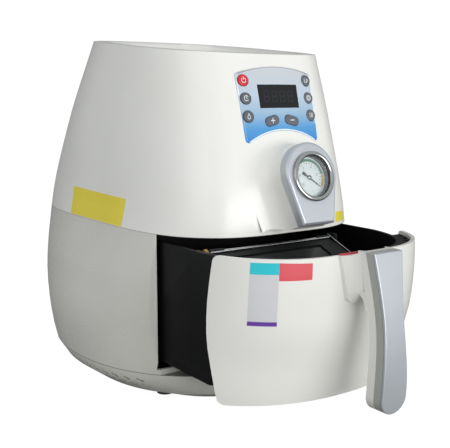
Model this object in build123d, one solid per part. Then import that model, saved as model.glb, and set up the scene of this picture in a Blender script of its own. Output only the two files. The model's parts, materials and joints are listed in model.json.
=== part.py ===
"""Desk-top vacuum sublimation machine: an egg-shaped moulded housing with a pull-out heated drawer,
a vacuum gauge on its nose and a keypad above it. Millimetres, +Z up, the front faces -Y."""

from build123d import *
import os
from math import cos, pi, radians, sin, tan
from typing import NamedTuple


# ---------------------------------------------------------------- overall form
class Ring(NamedTuple):
    """One plan section of the housing: a superellipse with its own reach to the front and the back."""

    height: float
    half_width: float
    front: float
    back: float
    squareness: float


foot_height = 4.0
body_height = 335.0
hem = Ring(foot_height, half_width=81, front=50, back=150, squareness=2.2)
tuck = Ring(13.5, half_width=108, front=68, back=161, squareness=2.2)
skirt = Ring(34, half_width=131.5, front=80, back=199, squareness=2.25)
belly = Ring(67, half_width=134, front=89, back=217, squareness=2.3)
hip = Ring(110, half_width=125, front=98.5, back=231, squareness=2.75)
waist = Ring(165, half_width=110, front=101, back=232, squareness=3.3)
chest = Ring(251, half_width=100, front=87, back=201, squareness=3.05)
crown = Ring(body_height, half_width=89, front=65, back=149, squareness=2.75)
rings = (hem, tuck, skirt, belly, hip, waist, chest, crown)
ring_points = 16
ring_pitch = 17.0
fine_pitch = 12.0
crown_spare = 8.0

wall = 3.0
base_seam = 37.0
shell_seam = 162.5
crown_tilt = 5.4
crown_back_rim = 154.0
dish_depth = 9.0
dish_margin = 13.0

# ---------------------------------------------------------------- clearances
running_gap = 0.3
seat_gap = 0.2
shaft_gap = 0.05

# ---------------------------------------------------------------- drawer
drawer_open = 87.0
mouth_plane = -43.0
mouth_half_width = 101.0
mouth_bottom = 42.0
mouth_top = 160.0
drawer_top = 159.0
drawer_bottom = 38.0
drawer_corner = 5.0
pan_half_width = 97.0
pan_wall = 3.0
pan_clear_of_front = 8.0
pan_inset = wall + pan_clear_of_front
pan_bottom = 50.0
pan_top = 156.0
pan_rear = 105.0
pan_rim_thickness = 3.0
rib_x = 45.0
rib_thickness = 3.0
skid_width = 12.0
skid_spacing = 140.0
skid_height = 2.0

# ---------------------------------------------------------------- cavity liner and runners
liner_half_width = 98.6
liner_top = 162.0
liner_front = mouth_plane + wall + 2.0
liner_sheet = 1.0
liner_rear = 110.0
liner_floor = 42.0
runner_width = 10.0

# ---------------------------------------------------------------- nose and gauge
gauge_centre_y = -127.0
gauge_centre_z = 213.0
gauge_tilt = 15.0
plate_arch_radius = 26.6
plate_arch_rise = 2.7
plate_taper = 14.0
plate_drop = 39.8
plate_thickness = 9.0
plate_bevel = 1.8
nose_reach = 27.0
nose_flare = 20.0
nose_sections = 7
nose_underside_front = 170.3
nose_underside_back = 168.3
bezel_radius = 21.0
bezel_bore = 17.4
bezel_height = 3.2
bezel_depth = 2.0
gauge_case_radius = 19.0
gauge_case_wall = 1.4
gauge_case_depth = 24.0
dial_sink = 5.5
dial_thickness = 0.8
lens_thickness = 1.2
spindle_radius = 0.9
pointer_length = 14.0
pointer_tail = 7.5
pointer_rest = -37.0
pointer_thickness = 0.6
gauge_stem_radius = 5.0
gauge_stem_length = 14.0

# ---------------------------------------------------------------- keypad and display
panel_tilt = 12.6
panel_centre_z = 272.0
panel_recess = 0.5
panel_top_half_width = 41.0
panel_low_half_width = 39.0
panel_top_z = 297.4
panel_top_crest = 6.0
panel_low_z = 237.3
panel_low_crest = 12.0
panel_corner = 3.0
panel_proud = 0.1
display_width = 42.6
display_height = 20.5
display_z = 278.3
display_depth = 10.0
display_sink = 0.3
key_radius = 5.0
key_proud = 1.2
key_depth = 6.0
key_clear = 0.3
key_travel = 0.8
key_column = 34.0
key_rows = (291.5, 276.5, 261.5)
adjust_column = 10.6
adjust_z = 257.7
adjust_width = 15.0
adjust_height = 8.0
adjust_lean = 14.0
board_thickness = 1.6
board_width = 92.0
board_height = 58.0
power_board_left = -78.0
power_board_width = 100.0
power_board_bottom = 120.0
power_board_height = 36.0
power_board_stand = 8.0

# ---------------------------------------------------------------- handle
grip_top = 163.5
grip_top_y = -128.0
grip_waist_z = 109.0
grip_waist_y = -136.5
grip_low_z = 58.0
grip_low_y = -139.0
grip_tip_y = -136.5
grip_top_half_width = 15.0
grip_waist_half_width = 10.6
grip_end_radius = 13.0
grip_bottom = 38.5
grip_plate = 2.6
grip_band = 7.0
grip_core = 8.0
root_half_width = 28.0
root_low_half_width = 16.0
root_bottom = 120.5
arch_rise = 10.0
arch_radius = 13.0
release_length = 26.0
release_width = 9.0
release_proud = 1.2
release_travel = 2.0

# ---------------------------------------------------------------- film frame and platen
rod_radius = 1.6
rod_y = -13.5
rod_z = 154.0
frame_left = -86.0
frame_right = 42.0
frame_reach = 66.0
frame_slope = 21.8
frame_bar = 7.0
frame_sheet = 1.2
membrane_thickness = 0.8
membrane_spare = 3.0
knuckle_length = 14.0
rod_bracket_thickness = 3.0
rod_bracket_width = 14.0
rod_nut_radius = 3.4
rod_nut_length = 3.0
platen_left = -80.0
platen_right = 40.0
platen_front = -44.0
platen_rear = 92.0
platen_top = 96.0
platen_thickness = 3.0
platen_wall = 1.5
suction_hole_radius = 1.6
suction_columns = 3
suction_rows = 4
gasket_width = 4.0
gasket_height = 2.0

# ---------------------------------------------------------------- vacuum line
nozzle_radius = 4.0
nozzle_bore = 2.2
nozzle_x = 72.0
nozzle_z = 86.0
nozzle_length = 9.0
socket_radius = 9.0
socket_length = 11.0
hose_radius = 3.0
port_length = 5.0
line_bend = 9.0
pump_motor_radius = 20.0
pump_motor_length = 58.0
pump_head_width = 34.0
pump_head_depth = 42.0
pump_head_height = 58.0
pump_y = 153.0
pump_z = 84.0
shelf_left = -72.0
shelf_sheet = 2.0
valve_size = 24.0

# ---------------------------------------------------------------- heater and fan
hood_half_width = 92.0
hood_front = -34.0
hood_rear = 104.0
hood_top = 203.0
hood_sheet = 1.0
tube_radius = 4.5
tube_z = 177.0
tube_rows = (-4.0, 35.0, 74.0)
tube_holder = 7.0
probe_radius = 1.5
probe_x = 58.0
probe_z = 168.5
probe_length = 40.0
fan_y = 35.0
fan_radius = 42.0
fan_height = 11.0
fan_blades = 9
fan_shaft_radius = 2.5
motor_radius = 24.0
motor_height = 32.0

# ---------------------------------------------------------------- rear of the housing
bay_half_width = 60.0
bay_bottom = 50.0
bay_top = 96.0
bay_floor_y = 203.0
inlet_width = 27.0
inlet_height = 20.0
inlet_depth = 22.0
inlet_x = -28.0
switch_x = 26.0
switch_width = 13.0
switch_height = 19.0
rocker_lean = 9.0
vent_slots = 5
vent_pitch = 9.0
vent_slot_height = 4.0
vent_half_width = 34.0
low_vent_z = 112.0
high_vent_z = 222.0

# ---------------------------------------------------------------- base
side_vents = 7
side_vent_pitch = 12.5
side_vent_first_y = -22.0
side_vent_rows = (29.0, 22.5)
side_vent_length = 8.0
side_vent_height = 2.6
side_vent_lean = 20.0
foot_radius = 8.0
foot_front_x = 65.0
foot_front_y = 6.0
foot_rear_x = 52.0
foot_rear_y = 106.0
post_radius = 5.0
post_x = 62.0
post_front_y = 24.0
post_rear_y = 88.0
screw_radius = 1.7
screw_head_radius = 3.2
screw_head_height = 1.6
screw_length = 29.0

# the model's origin is under the middle of the whole machine's box
front_most = grip_low_y - drawer_open
rear_most = waist.back
origin_shift = -(front_most + rear_most) / 2
drawer_shift = -drawer_open


# ---------------------------------------------------------------- helpers
def save(node, shape):
    """Writes one node in the model's frame."""
    export_step(Pos(0, origin_shift, 0) * shape, f"parts/{node}.step")


def save_drawer(node, shape):
    """Writes one node of the drawer, pulled out from its closed place."""
    save(node, Pos(0, drawer_shift, 0) * shape)


def ring_slope(index, field):
    """The slope of one ring size over the height, level where the size peaks, so no bulge overshoots."""
    if index in (0, len(rings) - 1):
        low, high = (rings[0], rings[1]) if index == 0 else (rings[-2], rings[-1])
        return (high[field] - low[field]) / (high.height - low.height)
    below, here, above = rings[index - 1 : index + 2]
    low_span = here.height - below.height
    high_span = above.height - here.height
    low_slope = (here[field] - below[field]) / low_span
    high_slope = (above[field] - here[field]) / high_span
    if low_slope * high_slope <= 0:
        return 0.0
    low_weight = 2 * high_span + low_span
    high_weight = high_span + 2 * low_span
    return (low_weight + high_weight) / (low_weight / low_slope + high_weight / high_slope)


def ring_at(height):
    """The plan section at any height, on smooth curves through the named rings."""
    index = max(i for i in range(len(rings) - 1) if rings[i].height <= height or i == 0)
    low, high = rings[index], rings[index + 1]
    span = high.height - low.height
    t = (height - low.height) / span
    sizes = []
    for field in range(1, len(low)):
        rise = ring_slope(index, field) * span
        fall = ring_slope(index + 1, field) * span
        start = (2 * t**3 - 3 * t**2 + 1) * low[field] + (t**3 - 2 * t**2 + t) * rise
        sizes.append(start + (3 * t**2 - 2 * t**3) * high[field] + (t**3 - t**2) * fall)
    return Ring(height, *sizes)


def front_y(x, height, inset=0.0):
    """Where the housing's front face lies at a place across and a height."""
    ring = ring_at(height)
    half_depth = (ring.front + ring.back) / 2 - inset
    middle = (ring.back - ring.front) / 2
    share = abs(x) / (ring.half_width - inset)
    return middle - half_depth * (1 - share**ring.squareness) ** (1 / ring.squareness)


def ring_wire(ring, inset=0.0):
    """The closed outline of a ring, moved inwards all round by inset."""
    width = ring.half_width - inset
    half_depth = (ring.front + ring.back) / 2 - inset
    middle = (ring.back - ring.front) / 2
    power = 2 / ring.squareness
    points = []
    for step in range(ring_points):
        angle = 2 * pi * step / ring_points
        across, along = cos(angle), sin(angle)
        x = width * abs(across) ** power * (1 if across >= 0 else -1)
        y = half_depth * abs(along) ** power * (1 if along >= 0 else -1)
        points.append(Vector(x, middle + y, ring.height))
    return Wire([Edge.make_spline(points, periodic=True)])


def heights_between(low, high, pitch):
    """Evenly spaced heights no further apart than about a pitch."""
    steps = max(1, round((high - low) / pitch))
    return [low + (high - low) * step / steps for step in range(steps + 1)]


def body_form(inset=0.0, low=foot_height, high=body_height + crown_spare, pitch=ring_pitch):
    """The housing's form between two heights, lofted through closely spaced rings."""
    heights = heights_between(low, high, pitch)
    return Solid.make_loft([ring_wire(ring_at(height), inset) for height in heights], ruled=True)


standing = (Align.CENTER, Align.CENTER, Align.MIN)


def block(x0, x1, y0, y1, z0, z1):
    """A box given by its two corners."""
    corner = (Align.MIN, Align.MIN, Align.MIN)
    return Pos(x0, y0, z0) * Box(x1 - x0, y1 - y0, z1 - z0, align=corner)


def rod(start, end, radius):
    """A round bar from one point to another."""
    line = Vector(*end) - Vector(*start)
    plane = Plane(origin=start, z_dir=line)
    return plane * Cylinder(radius, line.length, align=standing)


def pipe(points, radii, radius):
    """A round pipe along straight runs joined by arcs."""
    path = FilletPolyline(*points, radius=radii)
    start = Plane(origin=path @ 0, z_dir=path % 0)
    return sweep(start * Circle(radius), path)


# ---------------------------------------------------------------- frames of reference
gauge_plane = Plane(
    origin=(0, gauge_centre_y, gauge_centre_z),
    x_dir=(1, 0, 0),
    z_dir=(0, -cos(radians(gauge_tilt)), sin(radians(gauge_tilt))),
)
panel_normal = Vector(0, -cos(radians(panel_tilt)), sin(radians(panel_tilt)))


def panel_plane(x, z, sink=0.0):
    """A plane that lies on the keypad's skin at a place, facing out, or sunk behind it."""
    point = Vector(x, front_y(x, z), z) - panel_normal * sink
    return Plane(origin=point, x_dir=(1, 0, 0), z_dir=panel_normal)


def above_crown(drop=0.0):
    """Everything over the tilted top plane, or over one that lies lower by drop."""
    place = Pos(0, crown_back_rim, body_height - drop) * Rot(crown_tilt, 0, 0)
    return place * Box(600, 900, 200, align=standing)


# ---------------------------------------------------------------- gauge nose
def plate_outline(grow=0.0):
    """The gauge plate's outline: an arch over tapering sides, grown all round."""
    radius = plate_arch_radius + grow
    low = -plate_drop - grow
    taper = radians(plate_taper)
    side = (radius * cos(taper), plate_arch_rise - radius * sin(taper))
    foot = side[0] - (side[1] - low) * tan(taper)
    arch = ThreePointArc((-side[0], side[1]), (0, plate_arch_rise + radius), side)
    sides = Polyline(side, (foot, low), (-foot, low), (-side[0], side[1]))
    return make_face(Wire(arch.edges() + sides.edges()))


def nose_form(shrink=0.0):
    """The flare between the housing's front and the gauge plate."""
    wires = []
    for step in range(nose_sections):
        share = 0.98 * step / (nose_sections - 1)
        grow = nose_flare * (1 - (1 - share**2) ** 0.5) - shrink
        place = gauge_plane.offset(-plate_thickness - nose_reach * share)
        wires.append((place * plate_outline(grow)).face().outer_wire())
    return Solid.make_loft(wires, ruled=True)


def under_nose():
    """Everything under the nose's slanting underside, ahead of the shell's own front."""
    back = front_y(0, shell_seam)
    tip_y = gauge_centre_y - plate_drop * sin(radians(gauge_tilt)) - plate_thickness
    rise = nose_underside_front - shell_seam
    outline = Polyline(
        (0, shell_seam - 4 * rise),
        (0, shell_seam),
        (back, shell_seam),
        (back - wall, nose_underside_back),
        (tip_y, nose_underside_front),
        (tip_y * 2, nose_underside_front),
        (tip_y * 2, shell_seam - 4 * rise),
        close=True,
    )
    return extrude(Plane.YZ * make_face(outline), 200, both=True)


# ---------------------------------------------------------------- housing
def crown_dish():
    """The shallow recess in the top, following the rim."""
    levels = ((dish_margin, -2.0), (dish_margin, 0.0), (dish_margin * 1.9, 0.72), (dish_margin * 4.2, 1.0))
    rim = ring_at(body_height - crown_back_rim * sin(radians(crown_tilt)) / 2)
    wires = []
    for margin, share in levels:
        depth = share * dish_depth
        ring = rim._replace(height=-depth)
        tilted = Pos(0, crown_back_rim, body_height) * Rot(crown_tilt, 0, 0) * Pos(0, -crown_back_rim, 0)
        wires.append(tilted * ring_wire(ring, margin))
    return Solid.make_loft(wires, ruled=True)


def rear_vents(centre_z):
    """Cutters for a stack of level slots through the back wall."""
    cutters = []
    for slot in range(vent_slots):
        z = centre_z + (slot - (vent_slots - 1) / 2) * vent_pitch
        half = vent_slot_height / 2
        cutters.append(block(-vent_half_width, vent_half_width, bay_floor_y - 60, rear_most + 20, z - half, z + half))
    return cutters


def upper_shell():
    """The upper half of the housing with its nose, crown recess and openings."""
    shell = body_form(low=shell_seam) + nose_form()
    shell -= under_nose()
    shell -= above_crown()
    hollow = body_form(wall, low=shell_seam - wall) - above_crown(dish_depth + wall)
    display = Box(display_width + 2 * seat_gap, display_height + 2 * seat_gap, 4 * display_depth)
    cutters = [crown_dish(), hollow, skin_between(-wall, panel_recess) & panel_prism(seat_gap)]
    cutters.append(gauge_plane * Cylinder(gauge_case_radius + seat_gap, 6 * gauge_case_depth))
    cutters.append(panel_plane(0, display_z) * display)
    cutters += [key.prism(key_clear, -2 * key_depth, key_depth) for key in keys]
    return shell.cut(*cutters, *rear_vents(high_vent_z))


def lower_housing():
    """The lower half: a tapering shell with the drawer's mouth in front and the mains bay behind."""
    shell = body_form(low=base_seam, high=shell_seam, pitch=fine_pitch)
    shell -= block(-200, 200, -200, mouth_plane, 0, body_height)
    bay_outside = block(
        -bay_half_width - wall, bay_half_width + wall, bay_floor_y - wall, rear_most, bay_bottom - wall, bay_top + wall
    )
    hollow = body_form(wall, low=base_seam - wall, high=shell_seam + wall)
    hollow -= block(-200, 200, -200, mouth_plane + wall, 0, body_height)
    hollow -= bay_outside
    mouth_top_edge = shell_seam + wall
    mouth = block(-mouth_half_width, mouth_half_width, mouth_plane - wall, 0, mouth_bottom, mouth_top_edge)
    bay = block(-bay_half_width, bay_half_width, bay_floor_y, rear_most + wall, bay_bottom, bay_top)
    inlet_hole = mains_cutter(inlet_x, inlet_width, inlet_height)
    switch_hole = mains_cutter(switch_x, switch_width, switch_height)
    shell = shell.cut(hollow, mouth)
    return shell.cut(bay, inlet_hole, switch_hole, *rear_vents(low_vent_z + vent_slots * vent_pitch / 2))


def mains_cutter(x, width, height):
    """A square hole through the bay's floor for an inlet or a switch."""
    middle = (bay_bottom + bay_top) / 2
    return Pos(x, bay_floor_y, middle) * Box(width + 2 * seat_gap, 6 * wall, height + 2 * seat_gap)


def base_tray():
    """The tucked-in base: a tray with side vents, liner posts and a deck under the drawer."""
    floor = foot_height + wall
    hollow = body_form(wall, low=floor, high=base_seam + wall)
    tray = body_form(low=foot_height, high=base_seam, pitch=fine_pitch)
    tray -= hollow - block(-200, 200, -200, mouth_plane + wall, base_seam - wall, base_seam + wall)
    cutters = []
    for x, y in base_corners():
        post_height = liner_floor - liner_sheet - floor
        tray += Pos(x, y, floor) * Cylinder(post_radius, post_height, align=standing)
        cutters.append(Pos(x, y, 0) * Cylinder(screw_radius + seat_gap, liner_floor, align=standing))
        cutters.append(Pos(x, y, 0) * Cylinder(screw_head_radius + seat_gap, screw_seat_z(), align=standing))
    for side in (-1, 1):
        for z in side_vent_rows:
            for number in range(side_vents):
                y = side_vent_first_y + number * side_vent_pitch
                slot = Box(60, side_vent_length, side_vent_height)
                cutters.append(Pos(side * skirt.half_width, y, z) * Rot(side_vent_lean, 0, 0) * slot)
    return tray.cut(*cutters)


def base_corners():
    """Where the four liner posts and their screws stand."""
    return [(side * post_x, y) for side in (-1, 1) for y in (post_front_y, post_rear_y)]


def screw_seat_z():
    """The height in the tray's floor that the screws' heads pull up against."""
    return foot_height + wall / 4 + screw_head_height


def rubber_feet():
    """Four feet under the tray, the front pair wider apart."""
    feet = []
    for side in (-1, 1):
        for x, y in ((foot_front_x, foot_front_y), (foot_rear_x, foot_rear_y)):
            feet.append(Pos(side * x, y, foot_height / 2) * Cylinder(foot_radius, foot_height))
    return Compound(feet)


def base_screws():
    """Four screws up through the tray's posts."""
    screws = []
    for x, y in base_corners():
        seat = Pos(x, y, screw_seat_z())
        head = seat * Pos(0, 0, -screw_head_height) * Cylinder(screw_head_radius, screw_head_height, align=standing)
        shank = seat * Cylinder(screw_radius, screw_length, align=standing)
        screws.append((head + shank).solids()[0])
    return Compound(screws)


def brow_plate():
    """The black plate that closes the upper shell's overhang over the drawer."""
    plate = body_form(wall + seat_gap, low=shell_seam, high=shell_seam + wall)
    return plate & block(-200, 200, -200, hood_front - running_gap, shell_seam, shell_seam + wall)


# ---------------------------------------------------------------- keypad
class Key(NamedTuple):
    """One keypad button: a round one, or an oval one that leans with the arc below the display."""

    name: str
    x: float
    z: float
    lean: float = 0.0
    oval: bool = False

    def prism(self, grow, start, end):
        """The button's outline grown all round and drawn out along the keypad's normal."""
        place = panel_plane(self.x, self.z, -start) * Rot(0, 0, self.lean)
        if self.oval:
            face = SlotOverall(adjust_width + 2 * grow, adjust_height + 2 * grow)
        else:
            face = Circle(key_radius + grow)
        return extrude(place * face, end - start)


keys = (
    Key("key_power", -key_column, key_rows[0]),
    Key("key_left_upper", -key_column, key_rows[1]),
    Key("key_left_lower", -key_column, key_rows[2]),
    Key("key_right_top", key_column, key_rows[0]),
    Key("key_right_upper", key_column, key_rows[1]),
    Key("key_right_lower", key_column, key_rows[2]),
    Key("key_plus", -adjust_column, adjust_z, adjust_lean, True),
    Key("key_minus", adjust_column, adjust_z, -adjust_lean, True),
)


def skin_between(outside, inside):
    """The layer of the upper shell's skin between two insets, over the keypad's heights."""
    low, high = panel_low_z - 2 * wall, body_height
    return body_form(outside, low, high, fine_pitch) - body_form(inside, low, high, fine_pitch)


def panel_prism(grow=0.0):
    """The keypad's outline, arched over the display and round the nose, drawn out forwards."""
    top, low = panel_top_half_width + grow, panel_low_half_width + grow
    top_z, low_z = panel_top_z + grow, panel_low_z - grow
    crest = ThreePointArc((-top, top_z), (0, top_z + panel_top_crest), (top, top_z))
    right = Line((top, top_z), (low, low_z))
    hollow = ThreePointArc((low, low_z), (0, low_z + panel_low_crest), (-low, low_z))
    left = Line((-low, low_z), (-top, top_z))
    face = make_face(Wire([*crest.edges(), *right.edges(), *hollow.edges(), *left.edges()]))
    face = fillet(face.vertices(), panel_corner)
    return extrude(Plane.XZ * face, 200)


def control_panel():
    """The printed keypad skin, let into the shell, with holes for the keys and the display."""
    skin = skin_between(-panel_proud, panel_recess) & panel_prism()
    window = panel_plane(0, display_z) * Box(display_width, display_height, 4 * display_depth)
    return skin.cut(window, *[key.prism(key_clear, -key_depth, key_depth) for key in keys])


def display_module():
    """The display behind its dark window."""
    place = panel_plane(0, display_z, display_sink + display_depth / 2)
    gap = 2 * seat_gap
    return place * Box(display_width - gap, display_height - gap, display_depth)


def board_plane():
    """The front face of the control board, behind the display."""
    drop = display_z - panel_centre_z
    return panel_plane(0, display_z, display_sink + display_depth) * Pos(0, -drop, 0)


def control_board():
    """The circuit board that carries the display and the key switches."""
    board = board_plane() * Pos(0, 0, -board_thickness / 2) * Box(board_width, board_height, board_thickness)
    chip = board_plane() * Pos(0, -12, -board_thickness - 1.5) * Box(16, 16, 3)
    return board + chip


def board_spacers():
    """Spacers that hold the control board off the shell's inside and the power board off the liner."""
    spacers = []
    inside = body_form(wall + seat_gap, low=shell_seam)
    for x in (-board_width / 2 + 3, board_width / 2 - 3):
        for y in (-board_height / 2 + 3, board_height / 2 - 3):
            post = board_plane() * Pos(x, y, 0) * Box(5, 5, 16, align=standing)
            spacers.append((post & inside).solids()[0])
    for x in (power_board_left + 4, power_board_left + power_board_width - 4):
        for z in (power_board_bottom + 4, power_board_bottom + power_board_height - 4):
            spacers.append(rod((x, liner_rear, z), (x, liner_rear + power_board_stand, z), 2.5))
    return Compound(spacers)


# ---------------------------------------------------------------- gauge
def disc(radius, low, high, bore=0.0):
    """A disc or ring on the gauge's axis, between two depths from the plate's face."""
    middle = gauge_plane.offset((low + high) / 2)
    ring = middle * Cylinder(radius, high - low)
    return ring - middle * Cylinder(bore, 4 * (high - low)) if bore else ring


def gauge_plate():
    """The silver teardrop round the gauge, its front edge bevelled."""
    plate = extrude(gauge_plane * plate_outline(), -plate_thickness)
    front_edges = plate.faces().sort_by(Axis((0, 0, 0), gauge_plane.z_dir))[-1].edges()
    plate = chamfer(front_edges, plate_bevel)
    return plate - disc(gauge_case_radius + seat_gap, -2 * plate_thickness, plate_thickness)


def gauge_case():
    """The gauge's cup, with a floor behind the dial."""
    floor = -dial_sink - dial_thickness
    cup = disc(gauge_case_radius, -gauge_case_depth, 0)
    cup -= disc(gauge_case_radius - gauge_case_wall, floor, 1)
    return cup - disc(spindle_radius + shaft_gap, -gauge_case_depth / 2, 1)


def gauge_bezel():
    """The chromed ring: a rounded section turned about the gauge's axis, with a lip over the lens."""
    lens_front = bezel_height * 0.2 + lens_thickness
    section = Polyline(
        (gauge_case_radius - gauge_case_wall, 0),
        (bezel_radius, 0),
        (bezel_radius, bezel_height * 0.55),
        (bezel_radius - 1.2, bezel_height),
        (bezel_bore + 0.6, bezel_height),
        (bezel_bore - 0.4, bezel_height * 0.75),
        (bezel_bore - 0.4, lens_front),
        (gauge_case_radius - gauge_case_wall, lens_front),
        close=True,
    )
    side = Plane(origin=gauge_plane.origin, x_dir=gauge_plane.x_dir, z_dir=-gauge_plane.y_dir)
    return revolve(side * make_face(section), Axis(gauge_plane.origin, gauge_plane.z_dir))


def gauge_lens():
    """The gauge's glass, held behind the bezel's lip."""
    back = bezel_height * 0.2
    return disc(gauge_case_radius - gauge_case_wall, back, back + lens_thickness)


def gauge_dial():
    """The gauge's face, with a hole for the spindle."""
    radius = gauge_case_radius - gauge_case_wall
    return disc(radius, -dial_sink - dial_thickness, -dial_sink, bore=spindle_radius + shaft_gap)


def pointer():
    """The gauge's needle with its counterweight tail and spindle."""
    back = -dial_sink + running_gap
    blade = Polyline((pointer_length, 0), (0, 1.0), (-pointer_tail, 1.1), (-pointer_tail, -1.1), (0, -1.0), close=True)
    place = gauge_plane.offset(back) * Rot(0, 0, pointer_rest)
    needle = extrude(place * make_face(blade), pointer_thickness)
    needle += disc(2.0, back, back + pointer_thickness * 1.6)
    return needle + disc(spindle_radius, -gauge_case_depth / 2 + running_gap, back)


def gauge_fitting():
    """The brass stem that the vacuum line is pushed on to."""
    back = -gauge_case_depth
    hexagon = extrude(gauge_plane.offset(back) * RegularPolygon(7.0, 6), -5)
    return hexagon + disc(hose_radius - 1, back - gauge_stem_length, back - 4)


# ---------------------------------------------------------------- drawer
def front_inside():
    """The hollow of the drawer's front, which the pan's rim and ribs seat against."""
    return body_form(wall, drawer_bottom + wall, drawer_top, fine_pitch)


def drawer_front():
    """The drawer's curved front: the piece of the housing's form ahead of the mouth."""
    tall = drawer_top - drawer_bottom
    edge = mouth_plane - running_gap
    reach = edge - 2 * grip_low_y
    side = Plane.YZ * Pos(edge - reach / 2, drawer_bottom + tall / 2) * Rectangle(reach, tall + 2 * seat_gap)
    side = fillet(side.vertices().sort_by(Axis.Y)[-2:], drawer_corner)
    front = body_form(0, drawer_bottom, drawer_top, fine_pitch) & extrude(side, 200, both=True)
    return front - front_inside()


def pan_hollow(spare=0.0, low=pan_bottom + pan_wall, high=pan_top):
    """The space inside the pan, following the drawer's front, shrunk by spare."""
    inset = pan_inset + pan_wall + spare
    half = pan_half_width - pan_wall - spare
    rear = pan_rear - pan_wall - spare
    return body_form(inset, low=low, high=high) & block(-half, half, -200, rear, low, high)


def drawer_pan():
    """The drawer's black pan: a deep well with a rim that meets the front, ribbed corners and skids."""
    pan = body_form(pan_inset, low=pan_bottom, high=pan_top)
    pan &= block(-pan_half_width, pan_half_width, -200, pan_rear, pan_bottom, pan_top)
    seats = block(-200, 200, -200, mouth_plane - wall, pan_top - pan_rim_thickness, pan_top)
    for x in (-rib_x, rib_x):
        seats += block(x - rib_thickness / 2, x + rib_thickness / 2, -200, mouth_plane, pan_bottom, pan_top)
    pan += seats & front_inside()
    pan -= pan_hollow()
    for side in (-1, 1):
        x = side * skid_spacing / 2
        half = skid_width / 2
        pan += block(x - half, x + half, mouth_plane, pan_rear - wall, pan_bottom - skid_height, pan_bottom)
    pan -= Pos(nozzle_x, pan_rear, nozzle_z) * Rot(90, 0, 0) * Cylinder(nozzle_radius, 4 * pan_wall)
    return pan - rim_pockets()


def rim_pockets():
    """The row of pockets that lightens the rim's two front corners and leaves its ribs."""
    cutter = None
    for side in (-1, 1):
        for number in range(3):
            x = side * (pan_half_width - 18 + 6.5 * number)
            y = front_y(x, pan_top, wall) + 6.0
            pocket = Pos(x, y, pan_top) * Box(4.0, 5.0, 4 * pan_rim_thickness)
            cutter = pocket if cutter is None else cutter + pocket
    return cutter


def release_outline(grow=0.0):
    """The release button's outline, seen from above."""
    y = front_y(0, drawer_top) - release_width
    return Pos(0, y, 0) * SlotOverall(release_length + 2 * grow, release_width + 2 * grow)


def release_top():
    """The height of the handle root's top at the release button."""
    return drawer_top + 1.0


def release_button():
    """The red oval release on top of the handle's root."""
    bottom = release_top() - 6.0
    button = extrude(Pos(0, 0, bottom) * release_outline(), release_top() + release_proud - bottom)
    crown_edges = button.faces().sort_by(Axis.Z)[-1].edges()
    return chamfer(crown_edges, 0.6)


# ---------------------------------------------------------------- handle
def grip_curve(back=0.0):
    """The side view of the grip's face, moved back into the handle."""
    points = (
        (grip_top_y + back, grip_top),
        (grip_waist_y + back, grip_waist_z),
        (grip_low_y + back, grip_low_z),
        (grip_tip_y + back, grip_bottom - 2),
    )
    return Spline(*points)


def grip_layer(front, back):
    """The layer of the grip between two depths behind its face."""
    near, far = grip_curve(front), grip_curve(back)
    ends = (Line(near @ 0, far @ 0), Line(near @ 1, far @ 1))
    face = make_face(Wire([*near.edges(), *ends[1].edges(), *far.edges(), *ends[0].edges()]))
    return extrude(Plane.YZ * face, 60, both=True)


def grip_outline():
    """The grip seen from the front: wide at the top, waisted, and round at the bottom."""
    centre_z = grip_bottom + grip_end_radius
    right = Spline((grip_top_half_width, grip_top), (grip_waist_half_width, grip_waist_z),
                   (grip_end_radius, centre_z), tangents=[(-0.12, -1), (0, -1)])
    left = mirror(right, Plane.YZ)
    bottom = ThreePointArc((grip_end_radius, centre_z), (0, grip_bottom), (-grip_end_radius, centre_z))
    top = Line((-grip_top_half_width, grip_top), (grip_top_half_width, grip_top))
    face = make_face(Wire([*right.edges(), *bottom.edges(), *left.edges(), *top.edges()]))
    return extrude(Plane.XZ * face, 200)


def handle_plate():
    """The silver plate on the grip's face."""
    return grip_outline() & grip_layer(0, grip_plate)


def handle_band():
    """The grey band behind the silver plate."""
    return grip_outline() & grip_layer(grip_plate, grip_plate + grip_band)


def root_section(y, top, top_half, bottom, bottom_half):
    """One upright section of the handle's root."""
    corner = bottom_half * 0.45
    face = make_face(
        Polyline((-top_half, top), (top_half, top), (bottom_half, bottom), (-bottom_half, bottom), close=True)
    )
    face = fillet(face.vertices().sort_by(Axis.Y)[:2], corner)
    return (Plane(origin=(0, y, 0), x_dir=(1, 0, 0), z_dir=(0, -1, 0)) * face).face().outer_wire()


def root_arch():
    """The rounded inner corner where the root's underside turns down into the grip."""
    back = grip_plate + grip_band + grip_core
    top = root_bottom + arch_rise + 1.5
    grip_face = (grip_curve(back) @ ((grip_top - top) / (grip_top - grip_bottom))).X
    low = top - arch_radius - 1.5
    corner = block(-60, 60, grip_face - 2.5, grip_face + arch_radius, low, top)
    corner -= Pos(0, grip_face + arch_radius, low) * Rot(0, 90, 0) * Cylinder(arch_radius, 200)
    return corner & grip_outline()


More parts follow.
